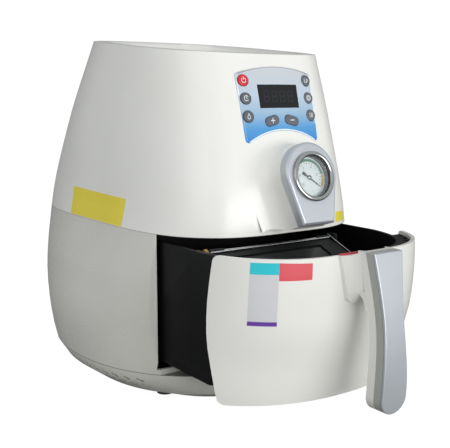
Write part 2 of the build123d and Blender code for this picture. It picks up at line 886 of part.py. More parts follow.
def handle_core():
    """The white inside of the grip with its flared root on the drawer's front."""
    back = grip_plate + grip_band
    core = grip_outline() & grip_layer(back, back + grip_core)
    foot_y = front_y(0, drawer_top)
    grip_y = grip_top_y + back + grip_core / 2
    step = (foot_y - grip_y) / 3
    tall = release_top()
    sections = (
        (foot_y + 6, drawer_top, root_half_width + 1, root_bottom, root_low_half_width + 1),
        (foot_y - step * 0.5, drawer_top + 0.3, root_half_width - 3, root_bottom, root_low_half_width),
        (foot_y - step * 1.6, tall, root_half_width - 9, root_bottom + arch_rise * 0.6, root_low_half_width - 2),
        (grip_y, grip_top - 0.5, grip_top_half_width - 0.4, root_bottom + arch_rise, grip_waist_half_width - 0.3),
    )
    root = Solid.make_loft([root_section(*section) for section in sections], ruled=True)
    root -= body_form(0, drawer_bottom, drawer_top, fine_pitch)
    root -= block(-200, 200, foot_y, 0, drawer_top, body_height)
    root -= grip_layer(-30, back + 1)
    core += root + root_arch()
    well = Pos(0, 0, release_top() - 6.0 - release_travel - running_gap) * release_outline(running_gap)
    return core - extrude(well, 30)


# ---------------------------------------------------------------- film frame, platen and vacuum line
def rod_place():
    """The film frame's hinge rod, as a place whose X runs along it."""
    return Pos(0, rod_y, rod_z) * Rot(frame_slope, 0, 0)


def film_frame():
    """A sheet frame that hangs from the hinge rod, its front corners rounded with the pan."""
    half = (frame_right - frame_left) / 2
    middle = (frame_right + frame_left) / 2
    level = Pos(0, rod_y, rod_z) * block(frame_left, frame_right, -frame_reach, 0, -frame_sheet / 2, frame_sheet / 2)
    level &= pan_hollow(spare=1.5, low=rod_z - 5, high=rod_z + 5)
    flap = Pos(0, -rod_y, -rod_z) * level
    window = Box(2 * half - 2 * frame_bar - 22, frame_reach - 3 * frame_bar, 9)
    flap -= Pos(middle, -frame_reach / 2, 0) * window
    flap -= block(frame_left + knuckle_length, frame_right - knuckle_length, -rod_radius - 1.0, 1, -3, 3)
    for left in (frame_left, frame_right - knuckle_length):
        flap += rod((left, 0, 0), (left + knuckle_length, 0, 0), rod_radius + 1.0)
    flap -= rod((frame_left - 1, 0, 0), (frame_right + 1, 0, 0), rod_radius + shaft_gap)
    return rod_place() * flap


def membrane():
    """The silicone sheet under the film frame's window."""
    middle = (frame_right + frame_left) / 2
    width = frame_right - frame_left - 2 * frame_bar - 18
    depth = frame_reach - 2.7 * frame_bar
    low = -frame_sheet / 2 - membrane_thickness / 2
    sheet = Pos(middle, -frame_reach / 2, low) * Box(width, depth, membrane_thickness)
    sheet &= Pos(0, -rod_y, -rod_z) * pan_hollow(spare=membrane_spare, low=rod_z - 5, high=rod_z + 5)
    return rod_place() * sheet


def hinge_rod():
    """The bright rod that the film frame turns on."""
    left = -pan_half_width + pan_wall + running_gap
    return rod((left, rod_y, rod_z), (frame_right + 6.5, rod_y, rod_z), rod_radius)


def rod_brackets():
    """A gusset on the pan's side wall and a post beside the platen that carry the hinge rod."""
    wall_x = -pan_half_width + pan_wall
    half = rod_bracket_width / 2
    low = rod_z - half
    gusset = block(wall_x, wall_x + rod_bracket_thickness, rod_y - half, rod_y + half, low - 8, rod_z + 2.0)
    post_x = frame_right + 1.5
    foot = pan_bottom + pan_wall
    post = block(post_x, post_x + rod_bracket_thickness, rod_y - half, rod_y + half, foot, rod_z + 3.5)
    bore = rod((-pan_half_width, rod_y, rod_z), (pan_half_width, rod_y, rod_z), rod_radius + shaft_gap)
    gusset &= pan_hollow()
    return Compound([(gusset - bore).solids()[0], (post - bore).solids()[0]])


def rod_nut():
    """The brass nut on the gusset."""
    face_x = -pan_half_width + pan_wall + rod_bracket_thickness
    place = Plane(origin=(face_x, rod_y, rod_z), z_dir=(1, 0, 0))
    nut = extrude(place * RegularPolygon(rod_nut_radius, 6), rod_nut_length)
    return nut - rod((face_x - 1, rod_y, rod_z), (face_x + 9, rod_y, rod_z), rod_radius + shaft_gap)


def platen():
    """The aluminium vacuum tray, open below, with its suction holes."""
    foot = pan_bottom + pan_wall
    tray = block(platen_left, platen_right, platen_front, platen_rear, foot, platen_top)
    tray -= block(
        platen_left + platen_wall, platen_right - platen_wall,
        platen_front + platen_wall, platen_rear - platen_wall,
        foot, platen_top - platen_thickness,
    )
    spread_x = (platen_right - platen_left) / (suction_columns + 1)
    spread_y = (platen_rear - platen_front) / (suction_rows + 1)
    for column in range(suction_columns):
        for row in range(suction_rows):
            x = platen_left + spread_x * (column + 1)
            y = platen_front + spread_y * (row + 1)
            tray -= Pos(x, y, platen_top) * Cylinder(suction_hole_radius, 4 * platen_thickness)
    port_y = platen_rear - 20
    return tray - rod((platen_right - 3, port_y, nozzle_z), (platen_right + 3, port_y, nozzle_z), hose_radius - 1)


def platen_gasket():
    """The red silicone seal round the platen's top."""
    top = platen_top + gasket_height
    ring = block(platen_left, platen_right, platen_front, platen_rear, platen_top, top)
    return ring - block(
        platen_left + gasket_width, platen_right - gasket_width,
        platen_front + gasket_width, platen_rear - gasket_width,
        platen_top, top,
    )


def suction_line():
    """The short pipe from the platen's side to the nozzle in the pan's rear wall."""
    port_y = platen_rear - 20
    points = ((platen_right, port_y, nozzle_z), (nozzle_x, port_y, nozzle_z), (nozzle_x, pan_rear - pan_wall, nozzle_z))
    return pipe(points, [line_bend], hose_radius - 1)


def vacuum_nozzle():
    """The tube through the pan's rear wall that plugs into the socket when the drawer shuts."""
    back = pan_rear + nozzle_length
    tube = rod((nozzle_x, pan_rear - pan_wall, nozzle_z), (nozzle_x, back, nozzle_z), nozzle_radius)
    return tube - rod((nozzle_x, 0, nozzle_z), (nozzle_x, back + 1, nozzle_z), nozzle_bore)


def vacuum_socket():
    """The sealed socket on the liner's back that the nozzle plugs into."""
    low, high = liner_rear, liner_rear + socket_length
    body = rod((nozzle_x, low, nozzle_z), (nozzle_x, high, nozzle_z), socket_radius)
    body += rod((nozzle_x, high, nozzle_z), (nozzle_x, high + port_length, nozzle_z), hose_radius - 1)
    body -= rod((nozzle_x, low - 1, nozzle_z), (nozzle_x, high - wall, nozzle_z), nozzle_radius + 2 * running_gap)
    return body - rod((nozzle_x, low, nozzle_z), (nozzle_x, high + 2 * port_length, nozzle_z), nozzle_bore / 2)


def vacuum_pump():
    """The diaphragm pump's motor, lying across the back of the base."""
    end_x = -pump_head_width / 2
    return rod((end_x - pump_motor_length, pump_y, pump_z), (end_x, pump_y, pump_z), pump_motor_radius)


def pump_head():
    """The pump's diaphragm head, with the port that its hose goes on to."""
    head = Pos(0, pump_y, pump_z) * Box(pump_head_width, pump_head_depth, pump_head_height)
    head = fillet(head.edges().filter_by(Axis.X), 5)
    side = pump_head_width / 2
    return head + rod((side, pump_y, nozzle_z), (side + port_length, pump_y, nozzle_z), hose_radius - 1)


def pump_cradle():
    """The folded shelf on the liner's back that carries the pump in two saddles."""
    top = pump_z - pump_head_height / 2
    right = pump_head_width / 2
    back = pump_y + pump_motor_radius
    shelf = block(shelf_left, right, liner_rear, back, top - shelf_sheet, top)
    shelf += block(shelf_left, right, liner_rear, liner_rear + shelf_sheet, top - shelf_sheet, top + 4 * wall)
    for x in (shelf_left + wall, -right - 2 * wall):
        shelf += block(x, x + wall, pump_y - pump_motor_radius + 2, back - 2, top, pump_z - pump_motor_radius / 2)
    return shelf - rod((shelf_left, pump_y, pump_z), (0, pump_y, pump_z), pump_motor_radius)


def solenoid_valve():
    """The valve that lets air back in, with a port on three sides."""
    half = valve_size / 2
    body = Pos(nozzle_x, pump_y, nozzle_z) * Box(valve_size, valve_size, valve_size)
    body += rod((nozzle_x, pump_y, nozzle_z), (nozzle_x, pump_y + half + 14, nozzle_z), 0.38 * valve_size)
    reach = half + port_length
    body += rod((nozzle_x - reach, pump_y, nozzle_z), (nozzle_x, pump_y, nozzle_z), hose_radius - 1)
    body += rod((nozzle_x, pump_y - reach, nozzle_z), (nozzle_x, pump_y, nozzle_z), hose_radius - 1)
    return body + rod((nozzle_x, pump_y, nozzle_z), (nozzle_x, pump_y, nozzle_z + reach), hose_radius - 1)


def pump_hose():
    """The hose from the pump's head to the valve."""
    start = pump_head_width / 2 + port_length
    end = nozzle_x - valve_size / 2 - port_length
    return rod((start, pump_y, nozzle_z), (end, pump_y, nozzle_z), hose_radius)


def socket_hose():
    """The hose from the valve forward to the drawer's socket."""
    start = pump_y - valve_size / 2 - port_length
    end = liner_rear + socket_length + port_length
    return rod((nozzle_x, start, nozzle_z), (nozzle_x, end, nozzle_z), hose_radius)


def gauge_hose():
    """The long hose from the valve up and over the heater's hood to the gauge."""
    stem = gauge_plane.origin - gauge_plane.z_dir * (gauge_case_depth + gauge_stem_length)
    ahead = stem - gauge_plane.z_dir * 2 * gauge_stem_length
    over = hood_top + 3 * hose_radius
    start = nozzle_z + valve_size / 2 + port_length
    points = ((nozzle_x, pump_y, start), (nozzle_x, pump_y, over), (nozzle_x, ahead.Y, over),
              (0, ahead.Y, ahead.Z), (0, stem.Y, stem.Z))
    return pipe(points, [line_bend, line_bend, line_bend], hose_radius)


# ---------------------------------------------------------------- heater, fan and liner
def drawer_liner():
    """The folded steel liner round the drawer, open in front and on top."""
    outer = block(-liner_half_width, liner_half_width, liner_front, liner_rear, liner_floor - liner_sheet, liner_top)
    half = liner_half_width - liner_sheet
    liner = outer - block(-half, half, liner_front - 1, liner_rear - liner_sheet, liner_floor, liner_top + 1)
    port = rod((nozzle_x, pan_rear, nozzle_z), (nozzle_x, liner_rear + 5, nozzle_z), nozzle_radius + 2 * running_gap)
    return liner - port


def runners():
    """Two runner strips on the liner's floor under the pan's skids."""
    top = pan_bottom - skid_height - running_gap
    strips = []
    for side in (-1, 1):
        x = side * skid_spacing / 2
        half = runner_width / 2
        strips.append(block(x - half, x + half, liner_front, liner_rear - liner_sheet - 2, liner_floor, top))
    return Compound(strips)


def heater_hood():
    """The bright hood over the drawer that carries the heater and the fan."""
    hood = block(-hood_half_width, hood_half_width, hood_front, hood_rear, liner_top, hood_top)
    half = hood_half_width - hood_sheet
    hood -= block(-half, half, hood_front + hood_sheet, hood_rear - hood_sheet, liner_top, hood_top - hood_sheet)
    brim = block(-liner_half_width, liner_half_width, hood_front, liner_rear, liner_top, liner_top + hood_sheet)
    hood += brim - block(-half, half, hood_front + hood_sheet, hood_rear - hood_sheet, liner_top, liner_top + hood_sheet)
    hood -= Pos(0, fan_y, hood_top) * Cylinder(fan_shaft_radius + 2 * running_gap, 4)
    return hood - rod((probe_x, 0, probe_z), (probe_x, 200, probe_z), probe_radius)


def heater_tubes():
    """Three quartz tubes across the hood."""
    half = hood_half_width - hood_sheet - tube_holder
    return Compound([rod((-half, y, tube_z), (half, y, tube_z), tube_radius) for y in tube_rows])


def tube_holders():
    """The ceramic blocks on the hood's sides that hold the tubes' ends."""
    holders = []
    for side in (-1, 1):
        for y in tube_rows:
            x = side * (hood_half_width - hood_sheet - tube_holder / 2)
            holders.append(Pos(x, y, tube_z) * Box(tube_holder, 14, 14))
    return Compound(holders)


def temperature_probe():
    """The probe through the hood's rear wall."""
    return rod((probe_x, hood_rear - probe_length, probe_z), (probe_x, hood_rear + 8, probe_z), probe_radius)


def fan_impeller():
    """The stirring fan under the hood's top: straight blades on a hub, and its shaft."""
    top = hood_top - hood_sheet - 2.0
    low = top - fan_height
    fan = Pos(0, fan_y, (top + low) / 2) * Cylinder(8, fan_height)
    for blade in range(fan_blades):
        turn = Pos(0, fan_y, (top + low) / 2) * Rot(0, 0, 360 / fan_blades * blade)
        fan += turn * Pos(fan_radius / 2 + 3, 0, 0) * Rot(30, 0, 0) * Box(fan_radius - 6, 1.0, fan_height)
    shaft_top = hood_top + motor_height / 2 - 1
    return fan + rod((0, fan_y, low), (0, fan_y, shaft_top), fan_shaft_radius)


def fan_motor():
    """The fan's motor on top of the hood, bored for the shaft."""
    motor = Pos(0, fan_y, hood_top + motor_height / 2) * Cylinder(motor_radius, motor_height)
    for side in (-1, 1):
        motor += Pos(side * motor_radius, fan_y, hood_top + 1) * Box(20, 12, 2)
    bore_top = hood_top + motor_height / 2
    return motor - rod((0, fan_y, hood_top - 1), (0, fan_y, bore_top), fan_shaft_radius + shaft_gap)


# ---------------------------------------------------------------- rear of the housing
def power_board():
    """The mains board behind the liner, with its transformer and relay."""
    front = liner_rear + power_board_stand
    back = front + board_thickness
    left, low = power_board_left, power_board_bottom
    board = block(left, left + power_board_width, front, back, low, low + power_board_height)
    board += block(left + 8, left + 38, back, back + 22, low + 2, low + 30)
    board += block(left + 48, left + 66, back, back + 14, low + 6, low + 26)
    return board + block(left + 74, left + 92, back, back + 16, low + 4, low + 20)


def power_inlet():
    """The three-pin mains inlet in the bay's floor."""
    middle = (bay_bottom + bay_top) / 2
    place = Pos(inlet_x, bay_floor_y, middle)
    inlet = place * Pos(0, 1, 0) * Box(inlet_width + 5, 2, inlet_height + 5)
    inlet += place * Pos(0, -inlet_depth / 2, 0) * Box(inlet_width, inlet_depth, inlet_height)
    socket = Box(inlet_width - 4, inlet_depth, inlet_height - 4)
    inlet -= place * Pos(0, 2 - inlet_depth / 2 + 2, 0) * socket
    for x, z in ((-6.5, -2), (6.5, -2), (0, 3)):
        inlet += place * Pos(x, 2 - inlet_depth / 2, z) * Box(2, inlet_depth - 4, 4)
    return inlet


def switch_frame():
    """The frame of the mains switch, open for its rocker."""
    middle = (bay_bottom + bay_top) / 2
    place = Pos(switch_x, bay_floor_y, middle)
    frame = place * Pos(0, 1, 0) * Box(switch_width + 4, 2, switch_height + 4)
    frame += place * Pos(0, -8, 0) * Box(switch_width, 16, switch_height)
    frame -= place * Pos(0, 0, 0) * Box(switch_width - 3, 24, switch_height - 3)
    return frame + place * Pos(0, -15, 0) * Box(switch_width, 2, switch_height)


def switch_rocker():
    """The rocker, leaning to its off side."""
    middle = (bay_bottom + bay_top) / 2
    half = switch_height / 2 - 1.5 - 0.8
    outline = Polyline((-3, -half * 0.9), (2.2, -half), (1.2, 0), (2.2, half), (-3, half * 0.9), close=True)
    rocker = extrude(Plane.YZ * make_face(outline), (switch_width - 3) / 2 - running_gap, both=True)
    return Pos(switch_x, bay_floor_y, middle) * Rot(-rocker_lean, 0, 0) * rocker


# ---------------------------------------------------------------- the whole machine
fixed_nodes = (
    upper_shell, lower_housing, base_tray, rubber_feet, base_screws, brow_plate,
    control_panel, display_module, control_board, board_spacers,
    gauge_plate, gauge_case, gauge_bezel, gauge_lens, gauge_dial, pointer, gauge_fitting,
    drawer_liner, runners, heater_hood, heater_tubes, tube_holders, temperature_probe, fan_impeller, fan_motor,
    vacuum_pump, pump_head, pump_cradle, solenoid_valve, pump_hose, socket_hose, gauge_hose, vacuum_socket,
    power_board, power_inlet, switch_frame, switch_rocker,
)
drawer_nodes = (
    drawer_front, drawer_pan, handle_core, handle_band, handle_plate, release_button,
    film_frame, membrane, hinge_rod, rod_brackets, rod_nut,
    platen, platen_gasket, suction_line, vacuum_nozzle,
)

os.makedirs("parts", exist_ok=True)
for node in fixed_nodes:
    save(node.__name__, node())
for node in drawer_nodes:
    save_drawer(node.__name__, node())
for key in keys:
    save(key.name, key.prism(0, -key_depth, key_proud))
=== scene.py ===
import json
import logging
import math
from dataclasses import dataclass, field
from enum import Enum

import bmesh
import bpy
import numpy as np
from mathutils import Matrix, Vector
from mathutils.bvhtree import BVHTree

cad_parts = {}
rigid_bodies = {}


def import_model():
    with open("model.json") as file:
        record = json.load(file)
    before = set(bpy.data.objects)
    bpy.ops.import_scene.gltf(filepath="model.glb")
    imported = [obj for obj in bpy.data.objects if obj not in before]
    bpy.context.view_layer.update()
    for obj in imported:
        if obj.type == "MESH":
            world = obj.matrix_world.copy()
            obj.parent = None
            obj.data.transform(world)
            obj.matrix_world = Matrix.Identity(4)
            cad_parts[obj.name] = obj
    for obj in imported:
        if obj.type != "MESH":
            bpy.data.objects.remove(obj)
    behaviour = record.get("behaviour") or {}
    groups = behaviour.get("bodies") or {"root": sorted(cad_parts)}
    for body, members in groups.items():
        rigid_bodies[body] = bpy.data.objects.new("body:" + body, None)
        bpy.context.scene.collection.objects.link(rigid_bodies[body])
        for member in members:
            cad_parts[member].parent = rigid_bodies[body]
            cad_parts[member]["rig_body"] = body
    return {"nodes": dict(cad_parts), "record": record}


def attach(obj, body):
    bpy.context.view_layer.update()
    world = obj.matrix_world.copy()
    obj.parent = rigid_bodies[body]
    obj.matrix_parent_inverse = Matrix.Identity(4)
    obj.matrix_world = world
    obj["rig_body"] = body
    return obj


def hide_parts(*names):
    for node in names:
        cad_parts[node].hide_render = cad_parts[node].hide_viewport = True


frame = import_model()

log = logging.getLogger("sublimation_machine")
MM = 0.001
TINY = 1e-9
WELD = 1e-7  # metres under which two points of a made piece become one
NODE_WELD = 2e-6  # the same for a copied node
CREASE = 38.0  # degrees past which a made piece keeps an edge sharp
COPY_CREASE = 28.0  # the same for a copied node
NODE_CREASE = 30.0  # the same for a node that is shown as it is
Socket = bpy.types.NodeSocket
Piece = bpy.types.Object
Material = bpy.types.Material
Tree = bpy.types.NodeTree


# ---------------------------------------------------------------- colour and node helpers
def linear(colour: str) -> tuple[float, float, float, float]:
    """Turns an sRGB hex colour into linear light.

    Args:
        colour: "#RRGGBB".
    Returns:
        Linear red, green, blue and an alpha of one.
    """
    channels = [int(colour[i : i + 2], 16) / 255 for i in (1, 3, 5)]
    light = [c / 12.92 if c <= 0.04045 else ((c + 0.055) / 1.055) ** 2.4 for c in channels]
    return (*light, 1.0)


def add(
    tree: Tree, kind: str, settings: dict | None = None, links: dict | None = None
) -> bpy.types.Node:
    """Adds a shader node with its settings and links.

    Args:
        tree: The node tree that it goes in.
        kind: The node's type name without the ShaderNode prefix.
        settings: Values by socket name or number, or by attribute name.
        links: Output sockets by the name or number of the input that they feed.
    Returns:
        The new node.
    """
    made = tree.nodes.new("ShaderNode" + kind)
    for key, value in (settings or {}).items():
        if isinstance(key, str) and key not in made.inputs:
            setattr(made, key, value)
    for key, value in (settings or {}).items():
        if not isinstance(key, str) or key in made.inputs:
            made.inputs[key].default_value = value
    for key, output in (links or {}).items():
        tree.links.new(output, made.inputs[key])
    return made


def blank_material(name: str) -> tuple[Material, Tree, bpy.types.Node]:
    """Makes a material that has only its shader.

    Args:
        name: The material's name.
    Returns:
        The material, its node tree and its shader.
    """
    material = bpy.data.materials.new(name)
    material.use_nodes = True
    return material, material.node_tree, material.node_tree.nodes["Principled BSDF"]


def linked(name: str, data: bpy.types.ID) -> Piece:
    """Makes an object of some data and links it to the scene.

    Args:
        name: The object's name.
        data: Its mesh, lamp, camera or text.
    Returns:
        The object.
    """
    made = bpy.data.objects.new(name, data)
    bpy.context.scene.collection.objects.link(made)
    return made


# ---------------------------------------------------------------- finishes
class Grain(Enum):
    """How a surface's fine relief runs."""

    MOULDED = "moulded"
    BRUSHED = "brushed"
    SPRAYED = "sprayed"


@dataclass(frozen=True)
class Finish:
    """One surface finish: its tones, its gloss and its relief, with sizes in millimetres."""

    name: str
    colour: str
    shade: str
    roughness: float
    grain: Grain = Grain.MOULDED
    grain_size: float = 1.2
    relief: float = 0.01
    metallic: float = 0.0
    ior: float = 1.5
    coat: float = 0.0
    mottle_size: float = 60.0
    rough_spread: float = 0.06
    # painted shade: the heights of the parting lines, where a thin darker band stands in for the shadow in
    # the gap between the shells
    gap_shade_heights: tuple[float, ...] = ()
    gap_shade_tone: str = "#77756F"
    gap_shade_half_width: float = 0.35
    tone_edges: tuple[float, float] = (0.35, 0.65)
    brush_stretch: float = 0.03
    coat_roughness: float = 0.12
    least_roughness: float = 0.01

    def tones(self, tree: Tree, place: Socket) -> Socket:
        """Mixes the two tones with a slow noise, and darkens the parting lines.

        Args:
            tree: The material's node tree.
            place: The object coordinates.
        Returns:
            The colour.
        """
        slow = add(tree, "TexNoise", {"Scale": 1 / (self.mottle_size * MM), "Detail": 3.0}, {"Vector": place})
        ramp = add(tree, "ValToRGB", None, {"Fac": slow.outputs["Fac"]})
        for number, colour in enumerate((self.shade, self.colour)):
            element = ramp.color_ramp.elements[number]
            element.position, element.color = self.tone_edges[number], linear(colour)
        tone = ramp.outputs["Color"]
        # painted shade: a thin darker band round each parting line stands in for the shadow in the gap
        # between the shells
        for height in self.gap_shade_heights:
            axes = add(tree, "SeparateXYZ", None, {"Vector": place})
            off = add(tree, "Math", {"operation": "SUBTRACT", 1: height * MM}, {0: axes.outputs["Z"]})
            away = add(tree, "Math", {"operation": "ABSOLUTE"}, {0: off.outputs[0]})
            near = {"operation": "LESS_THAN", 1: self.gap_shade_half_width * MM}
            line = add(tree, "Math", near, {0: away.outputs[0]})
            painted_gap_shade = {"data_type": "RGBA", 7: linear(self.gap_shade_tone)}
            mix = add(tree, "Mix", painted_gap_shade, {0: line.outputs[0], 6: tone})
            tone = mix.outputs[2]
        return tone

    def relief_vector(self, tree: Tree, place: Socket) -> Socket:
        """Stretches the grain's coordinates along X for a brushed surface.

        Args:
            tree: The material's node tree.
            place: The object coordinates.
        Returns:
            The stretched coordinates.
        """
        stretch = (self.brush_stretch, 1.0, 1.0) if self.grain is Grain.BRUSHED else (1.0, 1.0, 1.0)
        mapping = add(tree, "Mapping", {"Scale": stretch}, {"Vector": place})
        return mapping.outputs["Vector"]

    def build(self) -> Material:
        """Makes the material: tones, a roughness that wanders a little, and a fine relief.

        Returns:
            The material.
        """
        material, tree, shader = blank_material(self.name)
        place = add(tree, "TexCoord").outputs["Object"]
        tree.links.new(self.tones(tree, place), shader.inputs["Base Color"])
        fine = add(
            tree,
            "TexNoise",
            {"Scale": 1 / (self.grain_size * MM), "Detail": 2.0},
            {"Vector": self.relief_vector(tree, place)},
        )
        low = max(self.roughness - self.rough_spread / 2, self.least_roughness)
        high = self.roughness + self.rough_spread / 2
        wander = add(tree, "MapRange", {"To Min": low, "To Max": high}, {"Value": fine.outputs["Fac"]})
        tree.links.new(wander.outputs["Result"], shader.inputs["Roughness"])
        height = {"Strength": 1.0, "Distance": self.relief * MM}
        bump = add(tree, "Bump", height, {"Height": fine.outputs["Fac"]})
        tree.links.new(bump.outputs["Normal"], shader.inputs["Normal"])
        shader.inputs["Metallic"].default_value = self.metallic
        if not self.metallic:
            shader.inputs["IOR"].default_value = self.ior
        shader.inputs["Coat Weight"].default_value = self.coat
        shader.inputs["Coat Roughness"].default_value = self.coat_roughness
        return material


@dataclass(frozen=True)
class FilmPrint:
    """Polyester keypad film: a print that runs from sky blue at its foot to a pale cool grey, under gloss."""

    name: str = "printed_polyester"
    low: float = 238.0
    high: float = 303.0
    stops: tuple[tuple[float, str], ...] = (
        (0.0, "#2A7ECA"),
        (0.2, "#4C96CE"),
        (0.42, "#9AB7CE"),
        (0.62, "#B6C6D5"),
        (1.0, "#C4C8CB"),
    )
    dot_size: float = 0.4
    roughness: tuple[float, float] = (0.16, 0.24)

    def build(self) -> Material:
        """Makes the print's ramp from the height of each point.

        Returns:
            The material.
        """
        material, tree, shader = blank_material(self.name)
        place = add(tree, "TexCoord").outputs["Object"]
        axes = add(tree, "SeparateXYZ", None, {"Vector": place})
        span = {"From Min": self.low * MM, "From Max": self.high * MM}
        share = add(tree, "MapRange", span, {"Value": axes.outputs["Z"]})
        ramp = add(tree, "ValToRGB", None, {"Fac": share.outputs["Result"]})
        elements = ramp.color_ramp.elements
        elements[0].color = linear(self.stops[0][1])
        elements[1].color = linear(self.stops[-1][1])
        for position, colour in self.stops[1:-1]:
            elements.new(position).color = linear(colour)
        dots = add(tree, "TexNoise", {"Scale": 1 / (self.dot_size * MM)}, {"Vector": place})
        low, high = self.roughness
        rough = add(tree, "MapRange", {"To Min": low, "To Max": high}, {"Value": dots.outputs["Fac"]})
        tree.links.new(ramp.outputs["Color"], shader.inputs["Base Color"])
        tree.links.new(rough.outputs["Result"], shader.inputs["Roughness"])
        return material


@dataclass(frozen=True)
class ClearGlass:
    """Float glass, drawn thin: it lets light straight through and mirrors more at a slant."""

    name: str = "float_glass"
    tint: str = "#FAFCFC"
    mirror_tone: str = "#FFFFFF"
    mirror_roughness: float = 0.03
    ior: float = 1.45

    def build(self) -> Material:
        """Mixes a see-through and a mirror shader by the glass's own reflectance.

        Returns:
            The material.
        """
        material, tree, shader = blank_material(self.name)
        tree.nodes.remove(shader)
        through = add(tree, "BsdfTransparent", {"Color": linear(self.tint)})
        gloss = {"Color": linear(self.mirror_tone), "Roughness": self.mirror_roughness}
        mirror = add(tree, "BsdfGlossy", gloss)
        slant = add(tree, "Fresnel", {"IOR": self.ior})
        parts = {0: slant.outputs[0], 1: through.outputs[0], 2: mirror.outputs[0]}
        mix = add(tree, "MixShader", None, parts)
        tree.links.new(mix.outputs[0], tree.nodes["Material Output"].inputs["Surface"])
        return material


def ink(name: str, colour: str, shade: str, roughness: float = 0.4) -> Finish:
    """A printed ink: thin, even and nearly flat."""
    return Finish(name, colour, shade, roughness, grain_size=0.5, relief=0.001)


def vinyl(name: str, colour: str, shade: str) -> Finish:
    """Sticker vinyl under a clear film."""
    return Finish(name, colour, shade, 0.32, grain_size=1.0, relief=0.004, coat=0.2)


